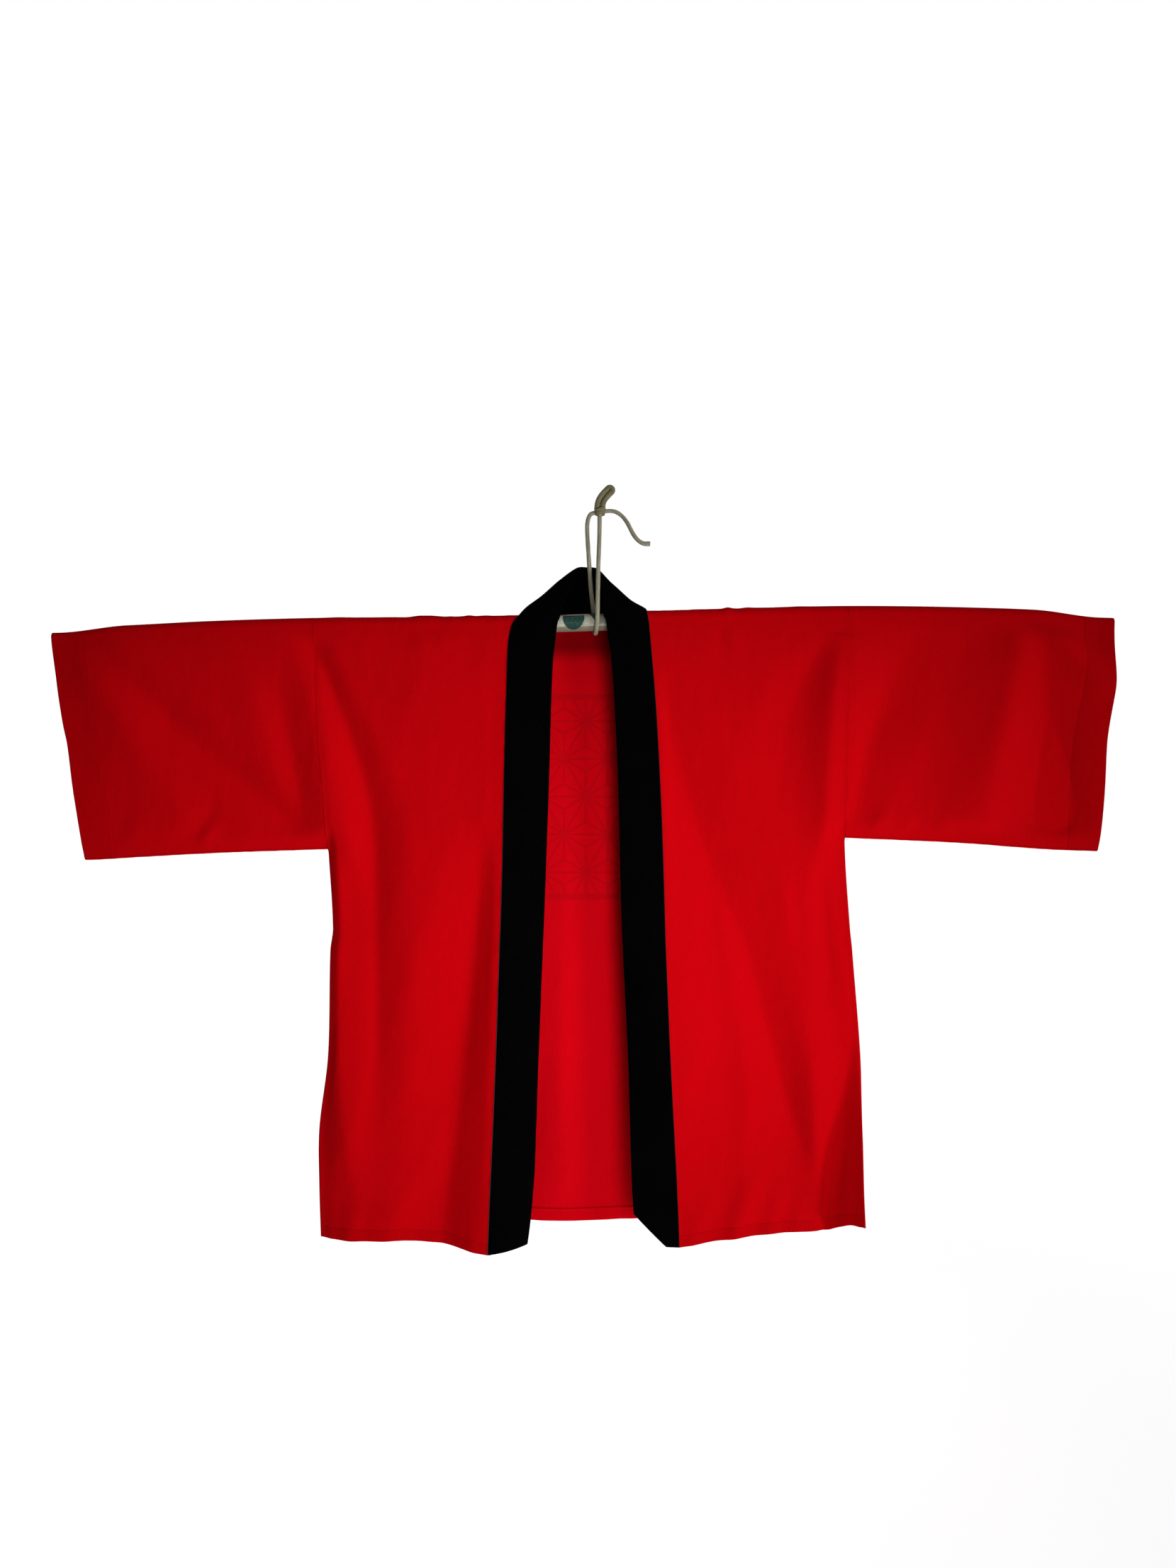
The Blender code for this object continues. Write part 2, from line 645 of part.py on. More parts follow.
def front_sections(side):
    """Sections of one front run of the band, from the hem up to the rod.

    They lie at the rows of the panel that the band is sewn to."""
    word = side_word(side)
    hem = read(HEM, word + "_front", 1.0)
    start_x = getattr(EDGES[1], word + "_seam")
    levels = [level for level in panel_levels() if level[0] != "wrap"]
    drops = [level_drop(kind, share, start_x, corner_drop(side), hem) for kind, share in levels]
    sections = []
    for drop in [rod_drop(start_x)] + drops:
        level = drop if drop > rod_drop(start_x) else 0.0
        seam_x = read(EDGES, word + "_seam", level) - side * COLLAR_GAP / MM / 2
        depth = read(FRONT_DEPTH[side], "seam", drop) + PROUD / MM + swell(drop - rod_drop(start_x))
        free_x = read(FREE_EDGE, word + "_free", drop)
        turn = read(FREE_EDGE, word + "_turn", drop)
        lift = END_LIFT[side] if drop == hem else 0.0
        seam = (seam_x, -depth, drop)
        free = (free_x, -depth + turn, drop - lift)
        crest = (blend(seam_x, free_x, 0.5), -depth + turn / 4, drop - lift * 0.3)
        sections.append([seam, crest, free])
    return list(reversed(sections))


def band_rows():
    grid = []
    for seam, crest, free in band_sections():
        row = []
        for column in range(BAND_COLUMNS + 1):
            w = column / BAND_COLUMNS
            weights = ((1 - w) * (1 - 2 * w), 4 * w * (1 - w), w * (2 * w - 1))
            place = [sum(k * part[axis] for k, part in zip(weights, (seam, crest, free))) for axis in range(3)]
            row.append(point(*place))
        grid.append(row)
    return grid


# ---------------------------------------------------------------- making objects

def plain_material(name, colour, roughness, metallic=0.0):
    material = bpy.data.materials.new(name)
    material.use_nodes = True
    shader = material.node_tree.nodes["Principled BSDF"]
    shader.inputs["Base Color"].default_value = (*colour, 1.0)
    shader.inputs["Roughness"].default_value = roughness
    shader.inputs["Metallic"].default_value = metallic
    return material


def place(obj, collection, material):
    collection.objects.link(obj)
    obj.data.materials.append(material)
    return obj


def cloth_shell(name, grid, wall, material, collection, closed=False):
    """An open surface through the rows of points, thickened evenly both ways."""
    count = len(grid[0])
    spans = count if closed else count - 1
    faces = []
    for row in range(len(grid) - 1):
        for column in range(spans):
            ahead = (column + 1) % count
            faces.append((row * count + column, row * count + ahead,
                          (row + 1) * count + ahead, (row + 1) * count + column))
    mesh = bpy.data.meshes.new(name)
    mesh.from_pydata([spot for row in grid for spot in row], [], faces)
    mesh.shade_smooth()
    obj = place(bpy.data.objects.new(name, mesh), collection, material)
    shell = obj.modifiers.new("cloth wall", "SOLIDIFY")
    shell.thickness = wall
    shell.offset = 0.0
    return obj


def smooth_route(stops, count):
    """Points at even steps on a smooth curve through a route's own points."""
    spots = [Vector(stop) for stop in stops]
    lengths = [0.0]
    for first, second in zip(spots, spots[1:]):
        lengths.append(lengths[-1] + (second - first).length)
    route = []
    for step in range(count + 1):
        at = lengths[-1] * step / count
        route.append(Vector([between(lengths, [spot[axis] for spot in spots], at) for axis in range(3)]))
    return route


def tube(name, route, radius, sides_beyond_four, material, collection):
    """A round bar or cord along a route given in millimetres."""
    curve = bpy.data.curves.new(name, "CURVE")
    curve.dimensions = "3D"
    curve.bevel_depth = radius
    curve.bevel_resolution = sides_beyond_four // 2
    curve.use_fill_caps = True
    spline = curve.splines.new("POLY")
    spline.points.add(len(route) - 1)
    for spot, place_in_route in zip(spline.points, route):
        spot.co = (*(place_in_route * MM), 1.0)
    return place(bpy.data.objects.new(name, curve), collection, material)


def make_rod(collection):
    route = []
    steps = 22
    for step in range(steps + 1):
        x = blend(ROD_BOW[0].x, ROD_BOW[-1].x, step / steps)
        route.append(point(x, 0.0, rod_drop(x) - ROD_RISE / MM) / MM)
    paper = plain_material("rod paper", (0.72, 0.68, 0.58), 0.6)
    tube("hanging_rod", route, ROD_RADIUS, 20, paper, collection)


def under_rod():
    """The sling's turn under the rod, from its front round to its back."""
    reach = ROD_RADIUS / MM + CORD / MM / 2 + SEAM_GAP / MM
    turn = []
    steps = 12
    for step in range(steps + 1):
        angle = blend(-math.pi / 2, math.pi / 2, step / steps)
        x = blend(*SLING_UNDER_X, step / steps)
        axis_z = (SHOULDER_Z + ROD_RISE) / MM - rod_drop(x - COAT_X / MM)
        turn.append(Stop(x, reach * math.sin(angle), axis_z - reach * math.cos(angle)))
    return turn


def loop_route():
    """The small loop: up beside its middle line, round the top and down again."""
    middle = smooth_route(LOOP_MIDDLE, 10)
    up = []
    down = []
    for index, spot in enumerate(middle):
        ahead = middle[min(index + 1, len(middle) - 1)]
        behind = middle[max(index - 1, 0)]
        along = (ahead - behind).normalized()
        across = Vector((along.z, 0.0, -along.x))
        up.append(spot - across * LOOP_HALF)
        down.append(spot + across * LOOP_HALF)
    top = []
    turns = 8
    for step in range(1, turns):
        angle = math.pi * step / turns
        top.append(middle[-1] - across * LOOP_HALF * math.cos(angle) + along * LOOP_HALF * math.sin(angle))
    return up + top + list(reversed(down))


def make_cord(collection):
    cotton = plain_material("cord cotton", (0.42, 0.38, 0.28), 0.85)
    sling = smooth_route(list(SLING_FRONT) + under_rod() + list(SLING_BACK), 84)
    tube("cord_sling", sling, CORD / 2, 4, cotton, collection)
    tube("cord_top_loop", loop_route(), LOOP_CORD / 2, 4, cotton, collection)
    tube("cord_tail", smooth_route(TAIL, 12), CORD / 2, 4, cotton, collection)
    mesh = bpy.data.meshes.new("cord_knot")
    ball = bmesh.new()
    bmesh.ops.create_uvsphere(ball, u_segments=16, v_segments=8, radius=1.0)
    ball.to_mesh(mesh)
    ball.free()
    mesh.shade_smooth()
    for vertex in mesh.vertices:
        vertex.co = Vector([vertex.co[axis] * KNOT_RADII[axis] * MM for axis in range(3)])
    knot = place(bpy.data.objects.new("cord_knot", mesh), collection, cotton)
    knot.location = Vector(KNOT_CENTRE) * MM


def make_coat(collection):
    red = plain_material("red cotton", (0.52, 0.006, 0.012), 0.85)
    black = plain_material("black cotton", (0.012, 0.012, 0.013), 0.8)
    cloth_shell("back", back_rows(), CLOTH, red, collection)
    for side in (-1, 1):
        word = side_word(side)
        cloth_shell("front_" + word, front_rows(side), CLOTH, red, collection)
        cloth_shell("sleeve_" + word, sleeve_rows(side), CLOTH, red, collection, closed=True)
    cloth_shell("collar", band_rows(), BAND, black, collection)


def main():
    for obj in list(bpy.data.objects):
        bpy.data.objects.remove(obj, do_unlink=True)
    collection = bpy.data.collections.new("happi coat")
    bpy.context.scene.collection.children.link(collection)
    make_coat(collection)
    make_rod(collection)
    make_cord(collection)


main()
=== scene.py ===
import math

import bpy
import numpy as np
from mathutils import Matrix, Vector


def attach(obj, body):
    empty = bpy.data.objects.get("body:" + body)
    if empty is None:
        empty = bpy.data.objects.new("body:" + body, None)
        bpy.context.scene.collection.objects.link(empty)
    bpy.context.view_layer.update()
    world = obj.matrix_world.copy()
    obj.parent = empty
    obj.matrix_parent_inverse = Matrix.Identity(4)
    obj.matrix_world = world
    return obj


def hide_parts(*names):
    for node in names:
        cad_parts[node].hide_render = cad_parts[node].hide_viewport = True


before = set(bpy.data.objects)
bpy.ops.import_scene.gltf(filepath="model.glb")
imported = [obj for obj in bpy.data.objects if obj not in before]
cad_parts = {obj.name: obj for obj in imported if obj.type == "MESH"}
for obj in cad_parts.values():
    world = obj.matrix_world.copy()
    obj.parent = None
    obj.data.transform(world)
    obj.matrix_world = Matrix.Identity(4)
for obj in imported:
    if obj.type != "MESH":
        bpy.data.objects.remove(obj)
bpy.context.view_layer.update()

# Happi coat on its rod: the looks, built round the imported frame.
# Tables are in millimetres: x from the coat's middle, drop down from the rod's middle,
# depth y with minus towards the front. right and left are the wearer's.

mm = 0.001
coat = {"x": -32.0, "z": -163.0}   # coat's middle and rod's middle, from the hanging point


# camera

view = {"x": -0.0273, "y": -1.439, "z": -0.3594, "lens": 27.04, "sensor": 36.0}


def makeCamera():
    camera = bpy.data.objects.new("camera", bpy.data.cameras.new("camera"))
    camera.data.sensor_fit = "VERTICAL"
    camera.data.sensor_height = view["sensor"]
    camera.data.lens = view["lens"]
    camera.location = (view["x"], view["y"], view["z"])
    camera.rotation_euler = (math.pi / 2, 0, 0)
    bpy.context.scene.collection.objects.link(camera)
    bpy.context.scene.camera = camera


# reading the tables

def neighbours(count):
    # the stops before and after each stop of a curve
    return np.maximum(np.arange(count) - 1, 0), np.minimum(np.arange(count) + 1, count - 1)


def bend(t, start, end, startSlope, endSlope):
    # smooth curve between two stops
    t2 = t * t
    t3 = t2 * t
    return ((2 * t3 - 3 * t2 + 1) * start + (t3 - 2 * t2 + t) * startSlope
            + (3 * t2 - 2 * t3) * end + (t3 - t2) * endSlope)


def through(keys, values, at):
    # smooth curve through values at keys, for one place or an array of places
    keys = np.asarray(keys, float)
    values = np.asarray(values, float)
    at = np.clip(at, keys[0], keys[-1])
    here = np.clip(np.searchsorted(keys, at, "right") - 1, 0, len(keys) - 2)
    low, high = neighbours(len(keys))
    slope = (values[high] - values[low]) / (keys[high] - keys[low])
    span = keys[here + 1] - keys[here]
    t = (at - keys[here]) / span
    return bend(t, values[here], values[here + 1], slope[here] * span, slope[here + 1] * span)


def read(table, column, at):
    # a column of a table at places of the table's first column
    return through(table[next(iter(table))], table[column], at)


def mix(low, high, share):
    return low + (high - low) * share


def soft(share):
    share = np.clip(share, 0.0, 1.0)
    return share * share * (3 - 2 * share)


def word(side):
    return "Right" if side < 0 else "Left"


def spot(x, y, drop):
    # places on the coat in metres
    x, y, drop = np.broadcast_arrays(x, y, drop)
    return np.stack([(x + coat["x"]) * mm, y * mm, (coat["z"] - drop) * mm], -1)


def wander(x, y, sizeX, sizeY, seed):
    # smooth seeded unevenness between -1 and 1
    grid = np.random.default_rng(seed).uniform(-1, 1, (64, 64))
    u = x / sizeX
    v = y / sizeY
    column = np.floor(u).astype(int)
    row = np.floor(v).astype(int)
    u = soft(u - column)
    v = soft(v - row)
    top = mix(grid[row % 64, column % 64], grid[row % 64, (column + 1) % 64], u)
    low = mix(grid[(row + 1) % 64, column % 64], grid[(row + 1) % 64, (column + 1) % 64], u)
    return mix(top, low, v)


# sizes that the pieces share

cloth = {
    "wall": 0.65,         # the cloth's own thickness
    "wrap": 12.65,        # from the rod's middle to the middle of the cloth over it
    "collarGap": 0.6,     # between a front's edge and the band
    "turn": 3.0,          # radius of the turned edge at a closed seam
    "rowBlend": 30.0,     # below the rod, where a panel's own drops take over from the rod's bow
    "cornerFade": 0.12, "lowerFade": 0.24,   # share of a panel that follows its side, at the arm and below
    "columns": 82, "backColumns": 150, "wrapRows": 8, "armRows": 88, "skirtRows": 150,
}

rodBow = {
    "x": [-651, -571, -454, -324, -159, 0, 161, 301, 405, 509, 559, 648],
    "drop": [17.5, 16.0, 10.2, 6.4, 4.8, 0.0, -4.4, -7.9, -7.6, -5.2, -3.2, -0.6],
}
edges = {
    "drop": [-13, 0, 20, 100, 190, 275, 372, 400, 528, 620, 690, 756],
    "sideRight": [-329.0, -329.0, -328.6, -325.0, -317.0, -312.4, -306.8, -310.0, -313.0, -324.2, -324.0,
                  -321.6],
    "seamRight": [-77.5, -87.5, -91.7, -94.8, -97.2, -98.6, -101.2, -102.2, -106.3, -109.9, -112.9, -115.4],
    "seamLeft": [76.5, 78.6, 80.5, 87.0, 92.0, 95.3, 97.9, 98.8, 103.9, 108.5, 112.0, 114.3],
    "sideLeft": [320.0, 320.0, 319.8, 319.2, 318.6, 318.6, 324.8, 327.6, 336.3, 334.6, 332.4, 332.4],
}
freeEdge = {
    "drop": [3, 55, 190, 361, 528, 690, 756],
    "freeRight": [-33.4, -39.0, -43.5, -49.6, -56.0, -62.4, -69.5],
    "turnRight": [-2.0, 1.0, 6.0, 12.0, 18.0, 22.0, 23.0],
    "freeLeft": [27.6, 34.8, 42.0, 46.4, 54.0, 59.0, 61.0],
    "turnLeft": [-2.0, 1.0, 6.0, 10.0, 13.0, 16.0, 17.0],
}
hemLine = {
    "share": [0.0, 0.06, 0.12, 0.17, 0.22, 0.35, 0.5, 0.75, 1.0],
    "frontRight": [748.5, 748.4, 748.3, 748.3, 748.2, 748.0, 747.8, 752.0, 756.6],
    "frontLeft": [719.8, 723.6, 732.6, 737.2, 736.8, 735.8, 736.4, 740.4, 748.2],
    "back": [745.0, 744.2, 743.6, 743.0, 742.4, 741.0, 739.6, 737.4, 736.0],
}
# how far a wall hangs from the rod's middle, from the side (outer) to the collar (seam)
hang = {
    "frontRight": {
        "drop": [0, 120, 300, 500, 752],
        "outer": [12.6, 14.0, 13.5, 14.0, 14.0],
        "middle": [12.6, 14.5, 16.0, 18.0, 19.0],
        "inner": [12.6, 15.0, 18.0, 22.0, 26.0],
        "seam": [12.6, 16.0, 23.0, 31.0, 38.0],
    },
    "frontLeft": {
        "drop": [0, 120, 300, 500, 752],
        "outer": [12.6, 14.0, 13.5, 11.0, 7.0],
        "middle": [12.6, 15.0, 17.0, 19.0, 20.5],
        "inner": [12.6, 16.0, 20.0, 25.0, 29.0],
        "seam": [12.6, 17.0, 24.0, 31.0, 36.0],
    },
    "back": {
        "drop": [0, 120, 300, 500, 752],
        "outer": [12.6, 13.5, 13.5, 14.0, 14.0],
        "middle": [12.6, 15.0, 16.5, 18.0, 19.5],
        "inner": [12.6, 16.5, 18.0, 20.0, 22.5],
        "seam": [12.6, 17.0, 18.5, 20.0, 22.0],
    },
}
hangShares = [cloth["cornerFade"], 0.4, 0.72, 1.0]
# half the thickness of a sleeve from its top (0) to its bottom fold (1)
sleevePuff = {"share": [0.0, 0.25, 0.5, 0.75, 0.92, 1.0], "half": [12.6, 13.2, 12.4, 10.2, 6.6, 2.94]}
cuffEdge = {
    "drop": [-14, 22, 75, 126, 148, 204, 256, 288],
    "Right": [-649.4, -647.8, -638.0, -629.8, -625.4, -619.2, -612.4, -608.6],
    "Left": [646.2, 644.0, 643.4, 635.6, 633.2, 631.4, 628.4, 624.6],
}
sleeveBottom = {
    "share": [0.0, 0.45, 0.8, 1.0],
    "Right": [276.2, 280.6, 285.8, 289.4],
    "Left": [262.3, 268.4, 276.2, 278.6],
}
# the side seam's lower part swings forward at the wearer's left
sideSwing = {
    "drop": [0, 450, 560, 640, 720, 756],
    "Right": [0, 0, 1, 3, 2, 1],
    "Left": [0, 0, -9, -30, -50, -56],
}
swingWidth = {"drop": [0, 560, 640, 756], "wide": [50.0, 46.0, 42.0, 56.0]}
# one seed for the unevenness of each place
seeds = {
    "front": 11, "back": 41, "frontHem": 51, "backHem": 61, "cuffHem": 81, "frontSide": 23, "frontBand": 27,
    "backSide": 33, "sleeveFold": 71, "overRod": 31, "band": 91, "paper": 101, "flap": 5,
    "sling": 5, "topLoop": 7, "tail": 4, "knot": 4,
}


def rodDrop(x):
    return read(rodBow, "drop", x)


def cornerDrop(side):
    return sleeveBottom[word(side)][0]


def levelOf(drop, axis):
    # drop below the rod's own bow near the rod, and plain drop further down
    return drop - axis * (1 - soft((drop - axis) / cloth["rowBlend"]))


# Creases. Each runs down the cloth through its stops: drop, x, height there (minus is a
# trough), and how far it spreads to the viewer's left and right of its line.

frontCreases = {
    "armhole ridge right": [(15, -330, 0, 30, 30), (100, -316, 2.6, 44, 40), (226, -307, 3.8, 46, 46),
                            (400, -302, 4.0, 24, 48), (560, -294, 3.0, 22, 38), (700, -280, 0, 22, 30)],
    "long trough right": [(8, -338, 0, 20, 18), (40, -324, -3.5, 24, 22), (100, -300, -5.5, 30, 28),
                          (226, -262, -6.0, 46, 44), (400, -254, -5.2, 50, 46), (500, -251, -4.0, 46, 44),
                          (590, -248, -1.8, 42, 40), (670, -246, 0, 40, 40)],
    "sleeve trough by armhole right": [(45, -376, 0, 34, 28), (100, -366, -1.6, 40, 30),
                                       (180, -352, -1.8, 40, 26), (240, -342, -1.2, 28, 22),
                                       (268, -338, 0, 22, 18)],
    "drag trough right": [(30, -592, 0, 30, 30), (90, -532, -3.4, 46, 48), (140, -480, -4.2, 58, 50),
                          (190, -420, -3.8, 60, 50), (240, -366, -2.6, 46, 28), (265, -346, 0, 40, 20)],
    "cuff ridge right": [(50, -596, 0.4, 24, 40), (110, -566, 2.2, 44, 48), (160, -538, 2.6, 64, 52),
                         (212, -502, 2.4, 80, 46), (266, -470, 1.4, 80, 34)],
    "sleeve ridge right": [(60, -412, 0, 30, 34), (110, -396, 1.7, 30, 28), (180, -374, 1.3, 26, 20),
                           (225, -362, 0, 22, 18)],
    "lower ridge right": [(560, -160, 0, 36, 40), (640, -190, 0.9, 42, 50), (715, -226, 1.5, 32, 44),
                          (750, -240, 1.1, 28, 40)],
    "trough by armhole left": [(12, 298, 0, 30, 22), (60, 268, -2.2, 38, 30), (100, 254, -2.5, 42, 34),
                               (140, 244, -2.1, 42, 36), (200, 240, -1.0, 36, 36), (260, 244, 0, 28, 34)],
    "armhole ridge left": [(15, 312, 1.0, 22, 44), (80, 304, 4.2, 28, 56), (150, 297, 5.6, 34, 54),
                           (220, 294, 4.8, 34, 46), (300, 296, 3.0, 26, 30), (390, 306, 2.0, 24, 20),
                           (480, 322, 1.0, 22, 12), (540, 334, 0, 20, 10)],
    "sleeve trough left": [(6, 400, 0, 50, 40), (80, 374, -3.0, 50, 54), (150, 346, -3.8, 28, 56),
                           (225, 331, -2.4, 14, 56), (256, 329, 0, 12, 40)],
    "sleeve ridge left": [(6, 532, 0, 40, 16), (50, 521, 5.0, 80, 32), (140, 500, 8.2, 92, 58),
                          (220, 484, 7.2, 82, 78), (262, 476, 2.2, 60, 60)],
    "sleeve trough by cuff left": [(8, 537, -0.5, 10, 26), (60, 554, -5.0, 32, 46),
                                   (140, 568, -7.0, 64, 50), (225, 577, -6.4, 84, 44),
                                   (262, 578, -1.8, 50, 40)],
    "cuff drag left": [(-6, 546, 0, 14, 22), (8, 562, 4.0, 18, 28), (28, 586, 4.6, 24, 32),
                       (50, 608, 3.6, 26, 28), (74, 624, 1.6, 24, 20), (94, 632, 0, 20, 16)],
    "long trough left": [(50, 92, 0, 18, 40), (140, 108, -2.5, 30, 56), (226, 131, -4.0, 50, 66),
                         (313, 161, -5.0, 70, 66), (400, 196, -6.0, 90, 56), (500, 222, -6.0, 100, 48),
                         (572, 242, -5.5, 104, 40), (640, 264, -4.0, 90, 30), (695, 282, 0, 60, 22)],
    "lens ridge left": [(400, 258, 0, 30, 26), (480, 266, 2.2, 34, 34), (560, 276, 4.2, 34, 38),
                        (640, 279, 4.2, 30, 30), (700, 280, 2.0, 24, 20), (748, 280, 1.0, 18, 14)],
    "lens trough left": [(490, 326, 0, 30, 14), (560, 320, -2.5, 34, 18), (640, 308, -4.5, 28, 30),
                         (700, 298, -5.0, 20, 40), (752, 291, -4.5, 16, 46)],
    "side trough left": [(230, 300, 0, 24, 22), (310, 293, -2.8, 22, 28), (390, 296, -2.8, 22, 28),
                         (470, 304, 0, 20, 22)],
    "short ridge left": [(285, 234, 0, 24, 14), (340, 242, 1.6, 28, 14), (395, 252, 0, 24, 12)],
    "ridge by band left": [(290, 158, 0, 20, 36), (380, 172, 1.6, 24, 44), (480, 188, 2.0, 26, 48),
                           (580, 197, 1.8, 24, 44), (660, 192, 1.4, 20, 34), (720, 182, 1.2, 18, 26)],
    "trough by band right": [(240, -126, 0, 40, 20), (330, -128, -3.6, 62, 26), (450, -138, -6.4, 82, 32),
                             (600, -154, -7.4, 96, 42), (752, -174, -7.2, 100, 56)],
    "side ridge right": [(480, -300, 0, 18, 36), (560, -301, 2.2, 20, 40), (640, -299, 2.6, 22, 40),
                         (690, -302, 1.0, 18, 30), (745, -306, 2.0, 15, 26)],
    "hem flute a": [(640, 212, 0, 18, 20), (700, 194, 1.5, 18, 22), (746, 176, 1.4, 18, 22)],
    "hem flute b": [(665, 238, 0, 16, 18), (710, 227, 1.3, 16, 18), (742, 221, 1.1, 16, 18)],
    "hem flute c": [(680, 142, 0, 16, 16), (720, 134, 1.0, 18, 18), (746, 128, 0.8, 18, 18)],
    "hem flute d": [(680, 262, 0, 12, 14), (718, 260, 1.2, 13, 14), (738, 258, 0.8, 14, 14)],
    "corner pucker a": [(620, 288, 0, 7, 6), (685, 287, 1.3, 8, 5), (742, 284, 1.2, 8, 5)],
    "corner pucker b": [(590, 316, 0, 8, 6), (655, 306, 1.7, 9, 6), (742, 297, 1.6, 8, 6)],
    "corner pucker c": [(555, 328, 0, 7, 6), (620, 323, 1.5, 8, 6), (700, 315, 1.6, 8, 6),
                        (742, 311, 0.8, 7, 6)],
    "hem flute e": [(700, -140, 0, 16, 16), (748, -134, 1.2, 18, 16)],
    "hem flute f": [(680, -170, 0, 18, 16), (748, -184, 1.0, 18, 18)],
    "hem flute g": [(705, -282, 0, 14, 14), (746, -286, 1.8, 16, 16)],
    "under sleeve pucker a": [(195, -448, 0, 16, 12), (232, -458, -1.0, 20, 14),
                              (262, -476, -1.5, 22, 14), (280, -488, -1.0, 22, 14)],
    "under sleeve pucker b": [(225, -536, 0, 14, 16), (250, -544, 0.6, 14, 16), (276, -552, 0.8, 14, 16)],
    "under sleeve pucker c": [(235, -452, 0, 10, 10), (272, -462, 1.3, 10, 12)],
    "under sleeve pucker d": [(215, 366, 0, 10, 12), (245, 358, 1.5, 11, 13), (262, 352, 1.5, 10, 12)],
    "under sleeve pucker e": [(225, 398, 0, 10, 12), (262, 388, 1.3, 11, 12)],
    "under sleeve pucker f": [(228, 440, 0, 10, 12), (264, 434, 1.3, 11, 12)],
    "under sleeve pucker g": [(235, 590, 0, 10, 12), (268, 596, 1.3, 11, 12)],
    "shoulder pucker right": [(-2, -204, 0, 12, 12), (20, -198, 1.0, 13, 15), (52, -190, 0, 16, 16)],
    "shoulder pucker low right": [(-2, -176, 0, 8, 9), (16, -172, 0.8, 9, 10), (38, -166, 0, 12, 12)],
    "shoulder pucker left": [(-4, 175, 0, 9, 9), (18, 179, 1.0, 10, 12), (50, 186, 0, 14, 14)],
}
# heights behind the coat, seen through the opening as hollows
backCreases = {
    "middle trough": [(250, -18, 0, 34, 34), (400, -24, -2.0, 40, 60), (580, -26, -3.0, 46, 74),
                      (742, -24, -2.2, 44, 66)],
    "print edge": [(100, 14, 0, 24, 20), (180, 8, -1.6, 24, 22), (300, 20, -1.6, 24, 20),
                   (380, 24, 0, 20, 18)],
    "long ridge right": [(60, -262, 0, 50, 50), (200, -258, 4.0, 56, 60), (420, -262, 4.5, 50, 62),
                         (640, -268, 3.0, 40, 50), (735, -270, 1.5, 34, 40)],
    "long trough right": [(150, -150, 0, 50, 50), (320, -166, -4.0, 60, 54), (520, -176, -4.5, 60, 50),
                          (742, -184, -3.5, 50, 44)],
    "long ridge left": [(120, 160, 0, 50, 50), (300, 176, 4.0, 60, 56), (500, 186, 4.8, 60, 56),
                        (742, 196, 3.5, 50, 46)],
    "long trough left": [(40, 276, 0, 30, 30), (140, 268, -4.0, 44, 44), (300, 272, -4.5, 46, 40),
                         (480, 278, -3.5, 44, 36), (600, 282, 0, 40, 30)],
    "lower side left": [(540, 300, 0, 34, 24), (620, 302, 2.0, 38, 24), (742, 298, 2.6, 38, 26)],
    "low ridge": [(520, -70, 0, 40, 40), (640, -84, 3.0, 44, 40), (742, -92, 4.5, 46, 42)],
    "low ridge left": [(560, 84, 0, 36, 36), (660, 92, 2.6, 40, 40), (742, 98, 4.0, 40, 42)],
    "armhole ridge right": [(12, -326, 0, 40, 26), (90, -322, 3.5, 50, 28), (200, -314, 4.0, 30, 26),
                            (262, -311, 2, 16, 22)],
    "armhole ridge left": [(12, 322, 0, 26, 40), (90, 320, 3.5, 28, 50), (200, 319, 4.0, 26, 30),
                           (255, 319, 2, 22, 16)],
    "drag trough right": [(30, -590, 0, 30, 30), (100, -525, -3.5, 46, 46), (170, -450, -4.2, 56, 48),
                          (240, -372, -2.5, 44, 30), (265, -350, 0, 36, 20)],
    "drag trough left": [(25, 580, 0, 30, 30), (90, 520, -3.5, 46, 46), (160, 446, -4.2, 50, 54),
                         (225, 372, -2.5, 30, 44), (250, 350, 0, 20, 36)],
    "cuff ridge right": [(60, -596, 0, 26, 36), (150, -570, 3.2, 36, 44), (240, -530, 2.5, 36, 36)],
    "cuff ridge left": [(50, 590, 0, 36, 26), (150, 566, 3.2, 44, 36), (235, 532, 2.5, 36, 36)],
    "hem flute a": [(680, -20, 0, 16, 18), (742, -30, 0.9, 18, 18)],
    "hem flute b": [(690, 40, 0, 14, 16), (742, 46, 0.8, 16, 16)],
    "hem flute c": [(680, 240, 0, 18, 18), (742, 250, 2.2, 20, 20)],
    "hem flute d": [(680, -232, 0, 18, 18), (742, -240, 2.2, 20, 20)],
    "under sleeve pucker a": [(215, -500, 0, 12, 12), (276, -520, 1.7, 12, 14)],
    "under sleeve pucker b": [(215, 470, 0, 12, 12), (268, 482, 1.7, 12, 14)],
}
# rounding of a crease's line on the body and from there out along the sleeves, how its flanks
# run out, and how high all of them stand
crest = {"round": 7.5, "sleeveRound": 9.0, "sleeveFrom": 340.0, "sleeveOver": 60.0, "power": 1.9, "up": 2.0}


def creaseHeight(creases, x, drop):
    total = np.zeros(np.broadcast(x, drop).shape)
    outwards = soft((np.abs(x) - crest["sleeveFrom"]) / crest["sleeveOver"])
    blunt = crest["round"] + crest["sleeveRound"] * outwards
    for stops in creases.values():
        drops, lines, ups, lefts, rights = zip(*stops)
        near = (drop > drops[0]) & (drop < drops[-1] + 1e-6)
        if ups[-1]:
            near = drop > drops[0]
        up = through(drops, ups, drop) * near
        off = x - through(drops, lines, drop)
        wide = np.where(off < 0, through(drops, lefts, drop), through(drops, rights, drop))
        tip = np.minimum(blunt, 0.8 * wide)
        t = (np.sqrt(off * off + tip * tip) - tip) / wide
        total = total + up * np.clip(1 - t, 0, 1) ** crest["power"]
    return total * crest["up"]


